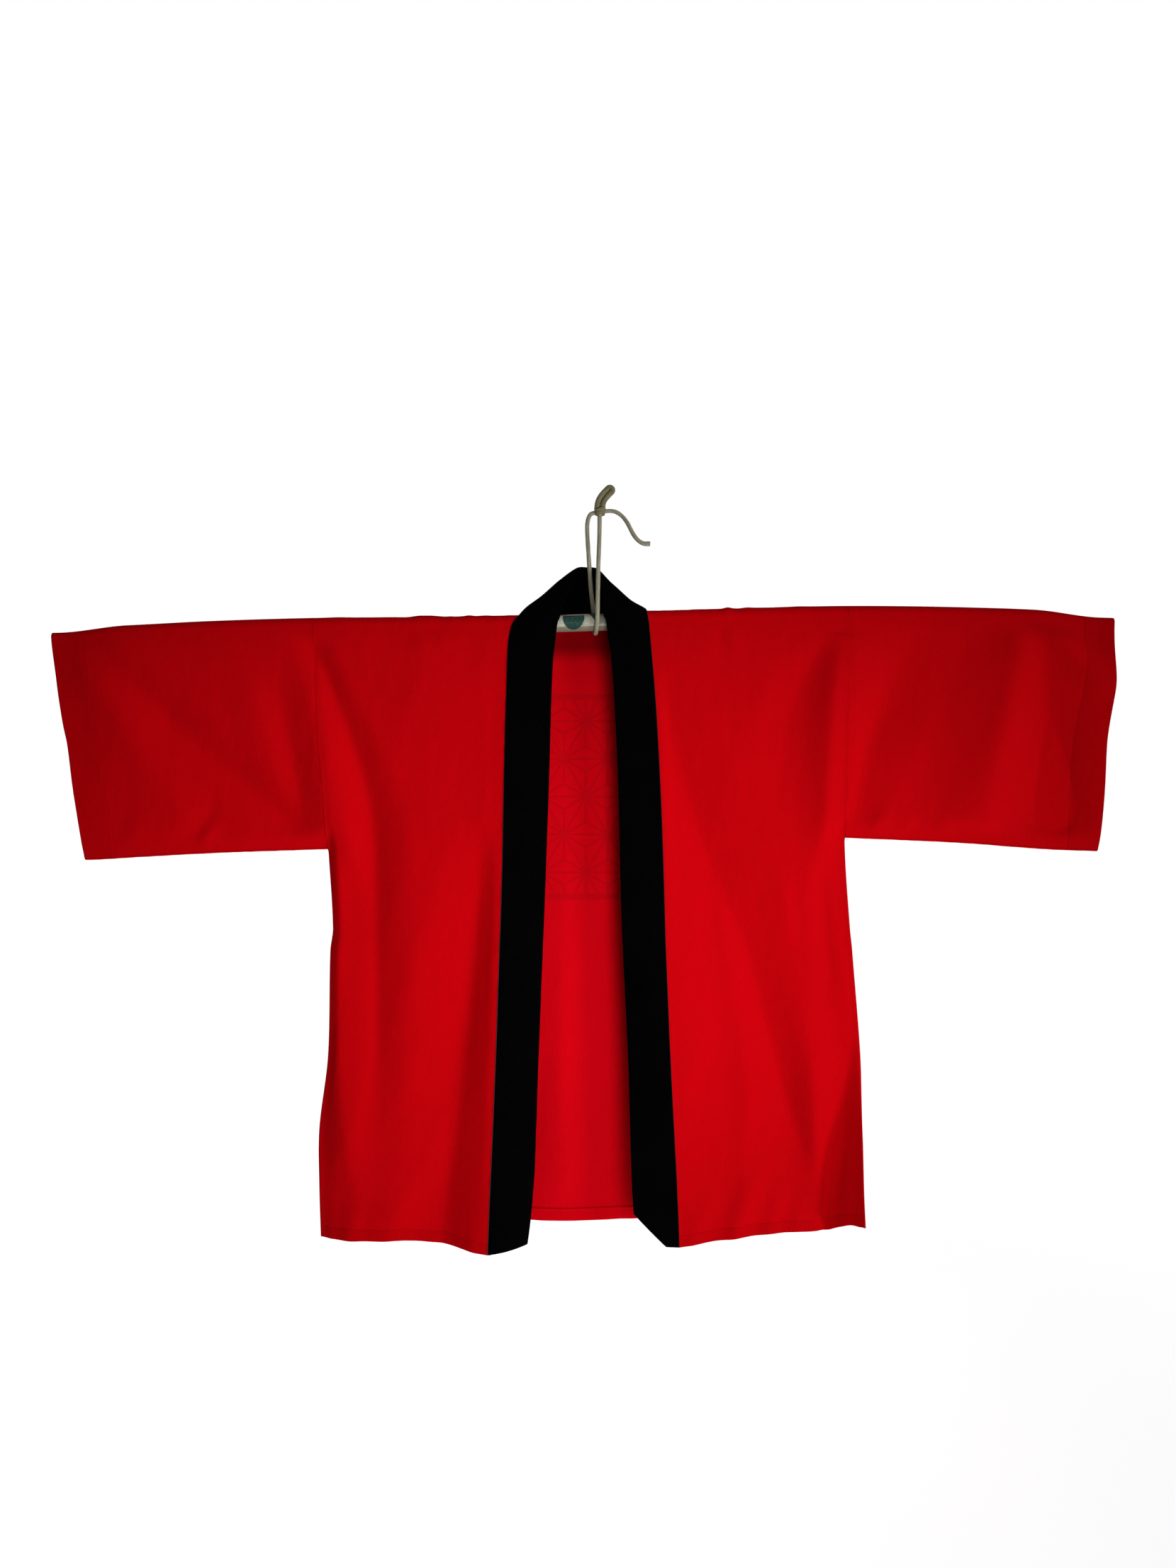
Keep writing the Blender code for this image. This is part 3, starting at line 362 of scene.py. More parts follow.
# the cloth's own unevenness between its creases: height, size across and down, lean
unevenness = [(0.9, 62, 240, 0.0), (0.45, 26, 110, 0.3), (0.16, 11, 42, 0.0)]


def drift(x, drop, seed, fade):
    # quieter where the creases die out
    parts = [height * wander(x + lean * drop, drop, across, down, seed + i)
             for i, (height, across, down, lean) in enumerate(unevenness)]
    return sum(parts) * mix(0.25, 1.0, fade)


def sidePuff(drop, axis, low):
    # half the thickness of the sleeve, and of the body at the armhole
    return read(sleevePuff, "half", np.clip((drop - axis) / (low - axis), 0, 1))


stand = {"off": 3.4, "rise": 16.0, "from": 50.0, "over": 170.0}


def shoulder(level):
    # the cloth stands off a little where it leaves the rod, and settles again below
    up = 1 - np.exp(-np.maximum(level, 0) / stand["rise"])
    return stand["off"] * up * (1 - soft((level - stand["from"]) / stand["over"]))


def lowOf(side):
    # where a sleeve's bottom fold starts to turn, at the armhole
    return cornerDrop(side) - cloth["wall"] / 2 - cloth["turn"]


def makeDepth(table, side, share, x, drop):
    # depth of a body panel off the rod's middle, by its share in from the side
    columns = np.stack([read(table, name, drop) for name in ("outer", "middle", "inner", "seam")])
    keys = np.array(hangShares)
    share = np.broadcast_to(share, drop.shape)
    here = np.clip(np.searchsorted(keys, share, "right") - 1, 0, len(keys) - 2)
    low, high = neighbours(len(keys))
    slopes = (columns[high] - columns[low]) / (keys[high] - keys[low])[:, None, None]
    span = keys[here + 1] - keys[here]
    t = np.clip((share - keys[here]) / span, 0, 1)
    start, end, startSlope, endSlope = (
        np.take_along_axis(pile, index[None], 0)[0]
        for pile, index in ((columns, here), (columns, here + 1), (slopes, here), (slopes, here + 1)))
    inside = bend(t, start, end, startSlope * span, endSlope * span)
    fade = mix(cloth["cornerFade"], cloth["lowerFade"], soft((drop - cornerDrop(side) + 40) / 120.0))
    return mix(sidePuff(drop, rodDrop(x), lowOf(side)), inside, soft(share / fade))


# how far from each edge of the cloth its creases fade
fades = {"rod": 26.0, "collar": 16.0, "side": 14.0, "fold": 28.0}


def belowRod(drop, axis):
    return soft((drop - axis - 2) / fades["rod"])


def creaseFade(x, drop, sideX, seamX, side):
    # creases die out at the rod, at the closed side seam and at the collar
    fade = belowRod(drop, rodDrop(x)) * soft(np.abs(seamX - x) / fades["collar"])
    low = soft((drop - lowOf(side) + fades["fold"]) / fades["fold"])
    return fade * mix(1.0, soft(np.abs(x - sideX) / fades["side"]), low)


# making meshes

def bare(name, vertices, faces, materials, smooth=True):
    mesh = bpy.data.meshes.new(name)
    mesh.vertices.add(len(vertices))
    mesh.vertices.foreach_set("co", np.ascontiguousarray(vertices, np.float32).ravel())
    faces = np.asarray(faces, np.int32)
    corners = faces.shape[1]
    mesh.loops.add(faces.size)
    mesh.loops.foreach_set("vertex_index", faces.ravel())
    mesh.polygons.add(len(faces))
    mesh.polygons.foreach_set("loop_start", np.arange(0, faces.size, corners, dtype=np.int32))
    mesh.update(calc_edges=True)
    if smooth:
        mesh.shade_smooth()
    piece = bpy.data.objects.new(name, mesh)
    for material in materials:
        mesh.materials.append(material)
    bpy.context.scene.collection.objects.link(piece)
    return piece


def addCut(piece, cut):
    # where each point lies on the flat cloth, in metres, and how much shade is painted there
    # where the cloth is doubled, or how high a braid's strands stand
    cut = np.asarray(cut, np.float32)
    if cut.shape[1] == 2:
        cut = np.c_[cut, np.zeros(len(cut), np.float32)]
    made = piece.data.attributes.new("cut", "FLOAT_VECTOR", "POINT")
    made.data.foreach_set("vector", cut.ravel())


def gridFaces(rows, columns, flip=False, closed=False):
    spans = columns if closed else columns - 1
    r, c = np.meshgrid(np.arange(rows - 1), np.arange(spans), indexing="ij")
    here = r * columns + c
    ahead = r * columns + (c + 1) % columns
    faces = np.stack([here, ahead, ahead + columns, here + columns], -1).reshape(-1, 4)
    return faces[:, ::-1] if flip else faces


def clothPiece(name, points, cut, materials, flip=False, closed=False, wall=None, keep=None):
    rows, columns = points.shape[:2]
    faces = gridFaces(rows, columns, flip, closed)
    points = points.reshape(-1, 3)
    cut = cut.reshape(-1, cut.shape[-1])
    if keep is not None:
        faces = faces[keep]
        used = np.unique(faces)
        places = np.zeros(len(points), int)
        places[used] = np.arange(len(used))
        points, cut, faces = points[used], cut[used], places[faces]
    piece = bare(name, points, faces, materials)
    addCut(piece, cut)
    shell = piece.modifiers.new("cloth wall", "SOLIDIFY")
    shell.thickness = (wall or cloth["wall"]) * mm
    shell.offset = 0.0
    shell.material_offset = len(materials) - 1
    return piece


def outward(points, sign, closed=False):
    # directions off the cloth at each point of a grid
    down = np.gradient(points, axis=0)
    if closed:
        along = (np.roll(points, -1, 1) - np.roll(points, 1, 1)) / 2
    else:
        along = np.gradient(points, axis=1)
    normal = np.cross(along, down) * sign
    return normal / np.maximum(np.linalg.norm(normal, axis=-1, keepdims=True), 1e-9)


def hemmed(points, cut, normals, count, gap):
    # turns the last rows back inside as a hem, a gap behind the face
    behind = points[-2:-2 - count:-1] - normals[-2:-2 - count:-1] * gap * mm
    edge = points[-1] + (points[-1] - points[-3]) * 0.35 - normals[-1] * gap * 0.5 * mm
    rows = np.concatenate([points, edge[None], behind])
    flat = np.concatenate([cut, cut[-1][None], cut[-2:-2 - count:-1]])
    return rows, flat


def lengths(path):
    return np.concatenate([[0.0], np.cumsum(np.linalg.norm(np.diff(path, axis=0), axis=1))])


def along(path, at):
    have = lengths(path)
    return np.stack([np.interp(at, have, path[:, axis]) for axis in range(3)], -1)


def smoothRoute(stops, step):
    # points at even steps on a smooth curve through a route's stops, in metres
    stops = np.asarray(stops, float)
    have = lengths(stops)
    dense = np.linspace(0, have[-1], int(have[-1] * 8))
    line = np.stack([through(have, stops[:, axis], dense) for axis in range(3)], -1) * mm
    total = lengths(line)[-1]
    return along(line, np.linspace(0, total, int(total / (step * mm)) + 1))


def frames(path):
    # two directions square to the path, carried along it without twisting
    tangent = np.gradient(path, axis=0)
    tangent /= np.linalg.norm(tangent, axis=1, keepdims=True)
    side = np.cross(tangent[0], (0.3, 1.0, 0.1))
    sides = []
    for t in tangent:
        side = side - t * np.dot(side, t)
        side = side / np.linalg.norm(side)
        sides.append(side)
    sides = np.array(sides)
    return sides, np.cross(tangent, sides)


def tubeMesh(name, rings, path, materials):
    # a closed tube from its rings of points, its ends closed with fans onto the path's ends
    rows, columns = rings.shape[:2]
    vertices = np.concatenate([rings.reshape(-1, 3), path[[0, -1]]])
    quads = gridFaces(rows, columns, closed=True)
    ring = np.arange(columns)
    ahead = (ring + 1) % columns
    last = (rows - 1) * columns
    middle = np.full(columns, rows * columns)
    fans = [np.stack([middle, ahead, ring], -1), np.stack([middle + 1, last + ring, last + ahead], -1)]
    return bare(name, vertices, np.concatenate([quads[:, [0, 1, 2]], quads[:, [0, 2, 3]], *fans]), materials)


sewing = {
    "pitch": 3.6, "uneven": 0.07, "length": 2.5, "thick": 0.34,
    "arch": 0.55, "lift": 0.78,   # of the thread's thickness: the middle's rise, and how high the ends stand
    "rings": 5, "sides": 6, "seed": 7,
}


def stitches(name, runs, material):
    # short raised stitches along runs of (path, directions off the cloth)
    rings = sewing["rings"]
    sides = sewing["sides"]
    pitch = sewing["pitch"] * mm
    thick = sewing["thick"] * mm
    share = np.linspace(0, 1, rings)
    blocks = []
    for path, out in runs:
        have = lengths(path)
        count = int(have[-1] / pitch) - 1
        random = np.random.default_rng(sewing["seed"] + len(blocks))
        start = (np.arange(count) + 0.5 + random.uniform(-sewing["uneven"], sewing["uneven"], count)) * pitch
        at = start[:, None] + share * sewing["length"] * mm
        middle = along(path, at)
        off = np.stack([np.interp(at, have, out[:, axis]) for axis in range(3)], -1)
        off /= np.linalg.norm(off, axis=-1, keepdims=True)
        rise = (np.sin(math.pi * share) * sewing["arch"] + sewing["lift"]) * thick
        middle = middle + off * rise[None, :, None]
        tangent = np.gradient(middle, axis=1)
        tangent /= np.linalg.norm(tangent, axis=-1, keepdims=True)
        across = np.cross(tangent, off)
        angle = np.linspace(0, 2 * math.pi, sides, endpoint=False)[:, None]
        radius = thick / 2 * (0.35 + 0.65 * np.sin(math.pi * share) ** 0.5)
        ring = across[:, :, None] * np.cos(angle) + off[:, :, None] * np.sin(angle)
        blocks.append(middle[:, :, None] + ring * radius[:, None, None])
    points = np.concatenate(blocks).reshape(-1, rings * sides, 3)
    one = gridFaces(rings, sides, closed=True)
    caps = np.array([[0, 1, 2, 3], [0, 3, 4, 5]])
    one = np.concatenate([one, caps[:, ::-1], caps + (rings - 1) * sides])
    faces = (one[None] + np.arange(len(points))[:, None, None] * rings * sides).reshape(-1, 4)
    return bare(name, points.reshape(-1, 3), faces, [material])


# body panels

hem = {
    "deep": 18.0,      # the rows near the hem start here
    "up": [16.5, 15.0, 14.1, 13.5, 12.9, 12.0, 10.0, 8.0, 6.0, 4.0, 2.5, 1.2, 0.4, 0.0],
    "stitch": 13.5,    # the stitch line, above the fold
    "fold": 0.95,      # from the face to the cloth turned back behind it
    "dense": 1.0,      # how strongly shade is painted on the doubled cloth
}
cuff = {
    "deep": 44.0,
    "up": [41.5, 39.6, 38.7, 38.0, 37.3, 36.2, 33.0, 29.0, 24.5, 20.0, 15.5, 11.0, 7.0, 4.2, 2.4, 1.2, 0.4,
           0.0],
    # dense: how strongly shade is painted on the doubled cuff cloth
    "stitch": 38.0, "fold": 0.85, "dense": 1.35,
}
seam = {
    "hidden": [5.0, 3.4, 1.8, 0.7],      # columns of a front that lie in the band
    "near": [0.0, 0.5, 1.1, 1.9, 2.9],   # close columns beside a seam
    "turned": 5, "allowance": [4.0, 8.0], "half": 0.24, "inset": 0.36,
    "round": 2.6, "ease": 1.8,           # the turned edge's radius, and how it starts from flat
    "dip": 0.14, "dipWide": 2.2,
    "press": 0.75, "least": 0.9, "pressFrom": 16.0, "pressOver": 14.0, "step": 0.35,
}
turnedColumns = seam["turned"] + len(seam["allowance"])
groove = {"deep": 0.15, "wide": 0.9, "near": 5.0, "inside": 0.12, "pucker": 0.26, "insidePucker": 0.1}


def rowDrops(axis, corner, end):
    # drop of each row in each column, and how far round the rod it is, 0 on top to 1 at the side
    wrap = np.linspace(0, 1, cloth["wrapRows"] + 1)[:, None]
    arm = np.linspace(0, 1, cloth["armRows"] + 1)[1:, None]
    skirt = np.linspace(0, 1, cloth["skirtRows"] + 1)[1:, None]
    drop = np.concatenate([axis - cloth["wrap"] * np.cos(wrap * math.pi / 2), mix(axis, corner, arm),
                           mix(corner, end - hem["deep"], skirt), end - np.array(hem["up"])[:, None]])
    return drop, np.concatenate([wrap, np.ones((len(drop) - len(wrap), 1))])


def hemShape(up, x, settings, seed):
    # the stitched groove and the small puckers along a hem
    dip = -groove["deep"] * np.exp(-((up - settings["stitch"]) / groove["wide"]) ** 2)
    near = np.exp(-((up - settings["stitch"]) / groove["near"]) ** 2)
    inside = soft((settings["stitch"] - up) / 2.0)
    pucker = groove["pucker"] * near + groove["insidePucker"] * inside
    return dip + groove["inside"] * inside + wander(x, up * 0.4, 7.5, 9.0, seed) * pucker


def pressed(depth, into, level):
    # a seam's allowance lies a little further in than the cloth, from just below the rod
    back = np.minimum(into * seam["press"], np.maximum(depth - seam["least"], 0))
    return depth - back * soft((level - seam["pressFrom"]) / seam["pressOver"]) - seam["step"] * (into > 0)


def turnSide(side, sideX, x, depth, drop, steps):
    # the last columns at a side: flat to the armhole, or turned into the closed seam
    count = seam["turned"]
    share = np.minimum(steps, count) / count
    angle = share * math.pi / 2
    flatX = sideX - side * (seam["half"] + seam["round"] * (1 - share) ** seam["ease"])
    turnX = sideX - side * (seam["inset"] + seam["round"] * (1 - np.sin(angle)))
    into = np.take([0.0] + seam["allowance"], np.maximum(steps - count, 0))
    low = soft((drop - cornerDrop(side) + 1.0) / 5.0)
    flatDepth = pressed(depth, into, drop - rodDrop(x))
    turned = steps > 0
    return (np.where(turned, mix(flatX, turnX - side * into, low), x),
            np.where(turned, mix(flatDepth, 0.45 + seam["round"] * np.cos(angle), low), depth))


def swing(side, x, sideX, drop):
    # the side seam's own way forward, felt some way into the cloth
    away = np.clip((np.abs(x - sideX) - 1) / read(swingWidth, "wide", drop), 0, 1)
    return read(sideSwing, word(side), drop) * (1 - away) ** 1.7


def doubledClothShade(up, settings, away):
    # how much shade is painted where a hem doubles the cloth, and less where a seam's turned edges lie behind
    # it
    atHem = settings["dense"] * soft((settings["stitch"] + 1.5 - up) / 3.0)
    return np.maximum(atHem, 0.35 * soft((9 - away) / 2.5))


def seamPucker(x, drop, seamX, seed):
    # short uneven puckers beside a sewn seam
    away = np.abs(x - seamX)
    return wander(away * 0.5, drop, 9.0, 8.5, seed) * 0.3 * np.exp(-(away / 7.0) ** 2) * soft(away / 1.2)


def seamShape(x, drop, seamX, axis, seed):
    # the line where two pieces meet, sunk below the rod, and its puckers
    dip = -seam["dip"] * np.exp(-(np.abs(x - seamX) / seam["dipWide"]) ** 2)
    return dip * soft((drop - axis) / 20.0) + seamPucker(x, drop, seamX, seed)


frontWide = 225.0   # a front's width, which the columns beside its edges are set by


def frontPoints(side):
    # points of a front from the collar to the side, and where each lies on the flat cloth
    name = word(side)
    main = np.linspace(5.0 / frontWide, 1, cloth["columns"] - len(seam["near"]))
    across = np.concatenate([-np.array(seam["hidden"]) / frontWide, np.array(seam["near"]) / frontWide, main,
                             np.ones(turnedColumns)])
    steps = np.concatenate([np.zeros(len(across) - turnedColumns, int), np.arange(1, turnedColumns + 1)])
    guess = mix(edges["seam" + name][1], edges["side" + name][1], np.clip(across, 0, 1))
    axis = rodDrop(guess)
    hemDrop = read(hemLine, "front" + name, 1 - np.clip(across, 0, 1))
    drop, over = rowDrops(axis, cornerDrop(side), hemDrop)
    level = levelOf(drop, axis)
    seamX = read(edges, "seam" + name, level) + side * cloth["collarGap"] / 2
    sideX = read(edges, "side" + name, level)
    x = mix(seamX, sideX - side * (cloth["turn"] - 0.05), across)
    depth = makeDepth(hang["front" + name], side, np.clip(1 - across, 0, 1), x, drop)
    fade = creaseFade(x, drop, sideX, seamX, side)
    depth = depth + creaseHeight(frontCreases, x, drop) * fade + drift(x, drop, seeds["front"], fade)
    depth = depth + hemShape(hemDrop - drop, x, hem, seeds["frontHem"]) + shoulder(drop - axis)
    depth = depth + seamShape(x, drop, sideX, axis, seeds["frontSide"])
    depth = depth + seamPucker(x, drop, seamX, seeds["frontBand"])
    x, depth = turnSide(side, sideX, x, depth, drop, np.broadcast_to(steps, drop.shape))
    y = -depth + swing(side, x, sideX, drop)
    wrapped = np.arange(len(drop)) <= cloth["wrapRows"]
    radius = cloth["wrap"] - 0.4 * np.exp(-(over / 0.07) ** 2) + topPucker(x, over)
    y[wrapped] = -(radius * np.sin(over * math.pi / 2) + 0.1)[wrapped]
    drop[wrapped] = (axis - radius * np.cos(over * math.pi / 2))[wrapped]
    # painted shade where the cloth is doubled, carried with the flat places
    paintedShade = doubledClothShade(hemDrop - drop, hem, np.abs(x - sideX))
    return spot(x, y, drop), np.stack([x * mm, drop * mm, paintedShade], -1)


# scalloped pulls where the cloth turns over the rod near the neck: place, half width, height
scallops = [(-202, 9, 1.4), (-187, 12, 1.7), (-164, 6, 0.5), (-141, 9, 1.2), (-119, 8, 0.5),
            (-300, 14, 0.5), (175, 5, 1.5), (199, 7, 0.8), (262, 10, 0.4)]


def topPucker(x, over):
    bumps = sum(up * np.exp(-((x - place) / wide) ** 2) for place, wide, up in scallops)
    near = soft((150 - np.abs(np.abs(x) - 130)) / 90.0)
    fine = 0.25 * wander(x, over, 7.0, 0.8, seeds["overRod"])
    return bumps * (1 - 0.75 * over) + fine * near * soft(over / 0.12)


def neckStart(x):
    # where the back's top edge runs behind the neck: depth, height and how far inside the neck
    seams = [i for i, y in enumerate(neck["seamY"]) if y > 0]
    xs, ys, ups = ([neck[column][i] for i in seams] for column in ("seamX", "seamY", "seamUp"))
    inside = soft((x - xs[0]) / 2.5) * soft((xs[-1] - x) / 2.5)
    wrap = cloth["wrap"]
    return mix(0.1, through(xs, ys, x), inside), mix(wrap - 0.4, through(xs, ups, x) + 2.2, inside), inside


def backPoints():
    # points of the back from the wearer's right to left, and where each lies on the flat cloth
    count = cloth["backColumns"]
    turned = turnedColumns
    across = np.concatenate([np.zeros(turned), np.linspace(0, 1, count), np.ones(turned)])
    steps = np.concatenate([np.arange(turned, 0, -1), np.zeros(count, int), np.arange(1, turned + 1)])
    side = np.where(across < 0.5, -1, 1)
    inward = 1 - np.abs(2 * across - 1)
    corner = mix(cornerDrop(-1), cornerDrop(1), across)
    guess = mix(edges["sideRight"][1], edges["sideLeft"][1], across)
    axis = rodDrop(guess)
    lower = read(hemLine, "frontLeft", inward) - read(hemLine, "frontRight", inward)
    lower = np.where(side > 0, lower * (1 - inward), 0.0)
    hemDrop = read(hemLine, "back", inward) + lower
    drop, over = rowDrops(axis, corner, hemDrop)
    level = levelOf(drop, axis)
    ends = [read(edges, "side" + name, level) for name in ("Right", "Left")]
    inset = cloth["turn"] - 0.05
    x = mix(ends[0] + inset, ends[1] - inset, across)
    half = len(across) // 2
    parts = []
    for which, end in ((slice(0, half), -1), (slice(half, None), 1)):
        sideX = ends[0 if end < 0 else 1][:, which]
        px, pdrop = x[:, which], drop[:, which]
        depth = makeDepth(hang["back"], end, inward[which], px, pdrop)
        fade = creaseFade(px, pdrop, sideX, px + 60, end)
        depth = depth + creaseHeight(backCreases, px, pdrop) * fade + drift(px, pdrop, seeds["back"], fade)
        depth = depth + hemShape(hemDrop[which] - pdrop, px, hem, seeds["backHem"])
        depth = depth + shoulder(pdrop - axis[which])
        depth = depth + seamShape(px, pdrop, sideX, axis[which], seeds["backSide"])
        px, depth = turnSide(end, sideX, px, depth, pdrop, np.broadcast_to(steps[which], pdrop.shape))
        parts.append((px, depth + swing(end, px, sideX, pdrop)))
    x = np.concatenate([part[0] for part in parts], 1)
    y = np.concatenate([part[1] for part in parts], 1)
    startDepth, startUp, inside = neckStart(x)
    push = np.maximum(startDepth - cloth["wrap"], 0)
    y = y + push * (1 - soft((drop - axis) / 90.0))
    wrapped = np.arange(len(drop)) <= cloth["wrapRows"]
    first = np.arctan2(startDepth, startUp)
    angle = mix(first, math.pi / 2, over)
    radius = mix(np.hypot(startDepth, startUp), cloth["wrap"] + push, over)
    radius = radius + topPucker(x, over) * (1 - inside)
    y[wrapped] = (radius * np.sin(angle))[wrapped]
    drop[wrapped] = (axis - radius * np.cos(angle))[wrapped]
    # painted shade where the cloth is doubled, carried with the flat places
    paintedShade = doubledClothShade(hemDrop - drop, hem, np.minimum(np.abs(x - ends[0]), np.abs(x - ends[1])))
    return spot(x, y, drop), np.stack([x * mm, drop * mm, paintedShade], -1)


def makePanel(name, points, cut, flip, ends, materials):
    # a body panel with its hem turned back inside, away from the closed seams
    rows, columns = points.shape[:2]
    sign = -1 if flip else 1
    back = len(hem["up"]) - 2
    points, cut = hemmed(points, cut, outward(points, sign), back, hem["fold"])
    r, c = np.meshgrid(np.arange(len(points) - 1), np.arange(columns - 1), indexing="ij")
    keep = (r < rows - 1) | ((c >= ends[0]) & (c < columns - 1 - ends[1]))
    piece = clothPiece(name, points, cut, materials, flip=flip, keep=keep.ravel())
    index = np.where(r >= rows - 1, len(materials) - 1, 0)[keep]
    piece.data.polygons.foreach_set("material_index", index.astype(np.int32))
    return piece


# sleeves

sleeve = {
    "stations": 96, "near": [0.0, 0.12, 0.5, 1.1, 1.9, 2.9], "nearLong": 270.0, "nearEnd": 4.4,
    "wallRows": 88, "wallEase": 1.25, "topRows": 12, "foldRows": 7,
    "cuffFold": 5.5,   # radius of the top fold at the cuff, past the rod's end
    "tuck": 0.2,       # how far round the bottom fold starts
}


def topRadius(x, side):
    # the rod fills the sleeve's top; beyond its end the fold is sharper
    past = (x - (rodBow["x"][1] if side < 0 else rodBow["x"][-2])) * side
    return mix(cloth["wrap"], sleeve["cuffFold"], soft((past + 14) / 86.0))


def ringPlaces(side, drop, stations):
    # x of every ring of a sleeve at these drops: the armhole's allowance, the arm, then the cuff's hem
    name = word(side)
    inner = len(seam["allowance"])
    hemUp = np.array(cuff["up"])[:, None]
    count = inner + len(stations) + len(hemUp)
    drop = np.broadcast_to(drop, (count, drop.shape[1]))
    arm = read(edges, "side" + name, drop) + side * seam["half"]
    edge = read(cuffEdge, name, drop)
    x = arm.copy()
    onArm = slice(inner, inner + len(stations))
    x[onArm] = mix(arm[onArm], edge[onArm] - side * cuff["deep"], stations[:, None])
    x[-len(hemUp):] = edge[-len(hemUp):] - side * hemUp
    return x


def sleevePoints(side):
    # rings of points from the armhole to the cuff, each down the front from the bottom fold, over
    # the rod and down the back, and where each point lies on the flat cloth
    name = word(side)
    shares = np.linspace(0, 1, sleeve["stations"])
    stations = np.concatenate([np.array(sleeve["near"]) / sleeve["nearLong"],
                               shares[shares > sleeve["nearEnd"] / sleeve["nearLong"]]])
    inner = len(seam["allowance"])
    count = inner + len(stations) + len(cuff["up"])
    guess = ringPlaces(side, np.zeros((count, 1)), stations)
    axis = rodDrop(guess)
    radius = topRadius(guess, side)
    length = np.abs(cuffEdge[name][2]) - np.abs(edges["side" + name][3])
    station = np.clip(np.abs(guess - edges["side" + name][1]) / length, 0, 1)
    lowSmooth = read(sleeveBottom, name, station) - cloth["wall"] / 2 - cloth["turn"]
    uneven = 0.14 * wander(guess, 0 * guess, 8.0, 5.0, seeds["sleeveFold"])
    low = lowSmooth + uneven * soft(np.abs(guess - guess[0]) / 12.0)
    up = np.concatenate([np.full(count - len(cuff["up"]), 99.0), cuff["up"]])[:, None]
    into = np.concatenate([seam["allowance"][::-1], np.zeros(count - inner)])[:, None]
    hidden = np.minimum(into, 1)
    walls = 1 - np.linspace(1, 0, sleeve["wallRows"]) ** sleeve["wallEase"]

    def wallColumns(table, seed, shares):
        # one face of the sleeve: x, half thickness and drop
        drop = mix(axis, low + cloth["turn"] * math.sin(sleeve["tuck"]), shares[None])
        x = ringPlaces(side, drop, stations)
        share = np.clip((drop - axis) / (lowSmooth - axis), 0, 1)
        half = read(sleevePuff, "half", share) * mix(radius / cloth["wrap"], 1.0, soft(share / 0.3))
        fade = belowRod(drop, axis) * soft((lowSmooth - drop) / fades["fold"])
        half = half + creaseHeight(table, x, drop) * fade + drift(x, drop, seed, fade)
        half = half + shoulder(drop - axis) * radius / cloth["wrap"]
        half = half + hemShape(up, drop, cuff, seeds["cuffHem"])
        half = half + seamShape(x, drop, read(edges, "side" + name, drop), axis, seed + 50)
        return x, np.maximum(pressed(half, into, drop - axis), 1.0), drop

    def roundColumns(middle, reach, angle, upwards):
        # a round part of the sleeve, over the rod or along the bottom fold
        drop = middle - upwards * reach * np.cos(angle)
        return ringPlaces(side, drop, stations), reach * np.sin(angle), drop

    front = wallColumns(frontCreases, seeds["front"], walls[::-1])
    back = wallColumns(backCreases, seeds["back"], walls)
    over = mix(-math.pi / 2, math.pi / 2, np.linspace(0, 1, sleeve["topRows"] + 2)[1:-1])[None]
    overReach = radius - 0.3 * hidden + topPucker(guess, np.cos(over) * 0.4)
    under = mix(math.pi / 2, -math.pi / 2, np.linspace(0, 1, sleeve["foldRows"] + 2)[1:-1])[None]
    under = under * (1 - 2 * sleeve["tuck"] / math.pi)
    underReach = cloth["turn"] - hidden * 0.4 - 0.1 * np.exp(-(under / 0.35) ** 2)
    parts = ((front[0], -front[1], front[2]), roundColumns(axis, overReach, over, 1), back,
             roundColumns(low, underReach, under, -1))
    x, y, drop = (np.concatenate([part[i] for part in parts], 1) for i in range(3))
    points = spot(x, y, drop)
    around = np.cumsum(np.linalg.norm(np.diff(points, axis=1), axis=-1), 1)
    around = np.concatenate([np.zeros((count, 1)), around], 1)
    # painted shade where the cuff's cloth is doubled, carried with the flat places
    paintedShade = doubledClothShade(up, cuff, np.abs(x - read(edges, "side" + name, drop)))
    return points, np.stack([x * mm, around - around[:, [sleeve["wallRows"]]], paintedShade], -1)


def makeSleeve(side, materials):
    points, cut = sleevePoints(side)
    flip = side > 0
    normals = outward(points, -1 if flip else 1, closed=True)
    grid, cut = hemmed(points, cut, normals, len(cuff["up"]) - 1, cuff["fold"])
    piece = clothPiece("clothSleeve" + word(side), grid, cut, materials, flip=flip, closed=True)
    return piece, points, normals


# collar band

neck = {
    "seamX": [-79.6, -75.6, -62.0, -44.0, -22.0, 3.0, 28.0, 47.0, 64.0, 74.8, 76.0],
    "seamY": [-9.6, 0.6, 10.5, 16.0, 18.8, 20.0, 18.8, 16.0, 10.5, 0.6, -9.6],
    "seamUp": [9.6, 14.2, 14.2, 14.4, 14.5, 14.5, 14.5, 14.4, 14.2, 14.2, 9.6],
    "crestX": [-57.0, -61.0, -49.0, -33.0, -16.5, 3.2, 22.5, 37.0, 52.0, 61.0, 53.0],
    "crestY": [-14.8, -6.5, 1.5, 7.0, 13.5, 20.0, 13.5, 7.0, 1.5, -6.5, -14.8],
    "crestUp": [12.0, 23.0, 36.0, 50.5, 54.5, 43.0, 52.0, 44.5, 28.8, 17.6, 9.4],
    "freeX": [-30.6, -28.4, -24.0, -17.5, -10.0, 3.8, 17.8, 22.6, 23.6, 24.2, 25.4],
    "freeY": [-15.2, -14.4, -12.2, -7.0, 3.0, 18.0, 3.0, -5.5, -11.4, -14.2, -15.2],
    "freeUp": [6.0, 16.0, 30.0, 47.0, 66.4, 70.4, 64.4, 44.0, 27.0, 14.0, 5.0],
}
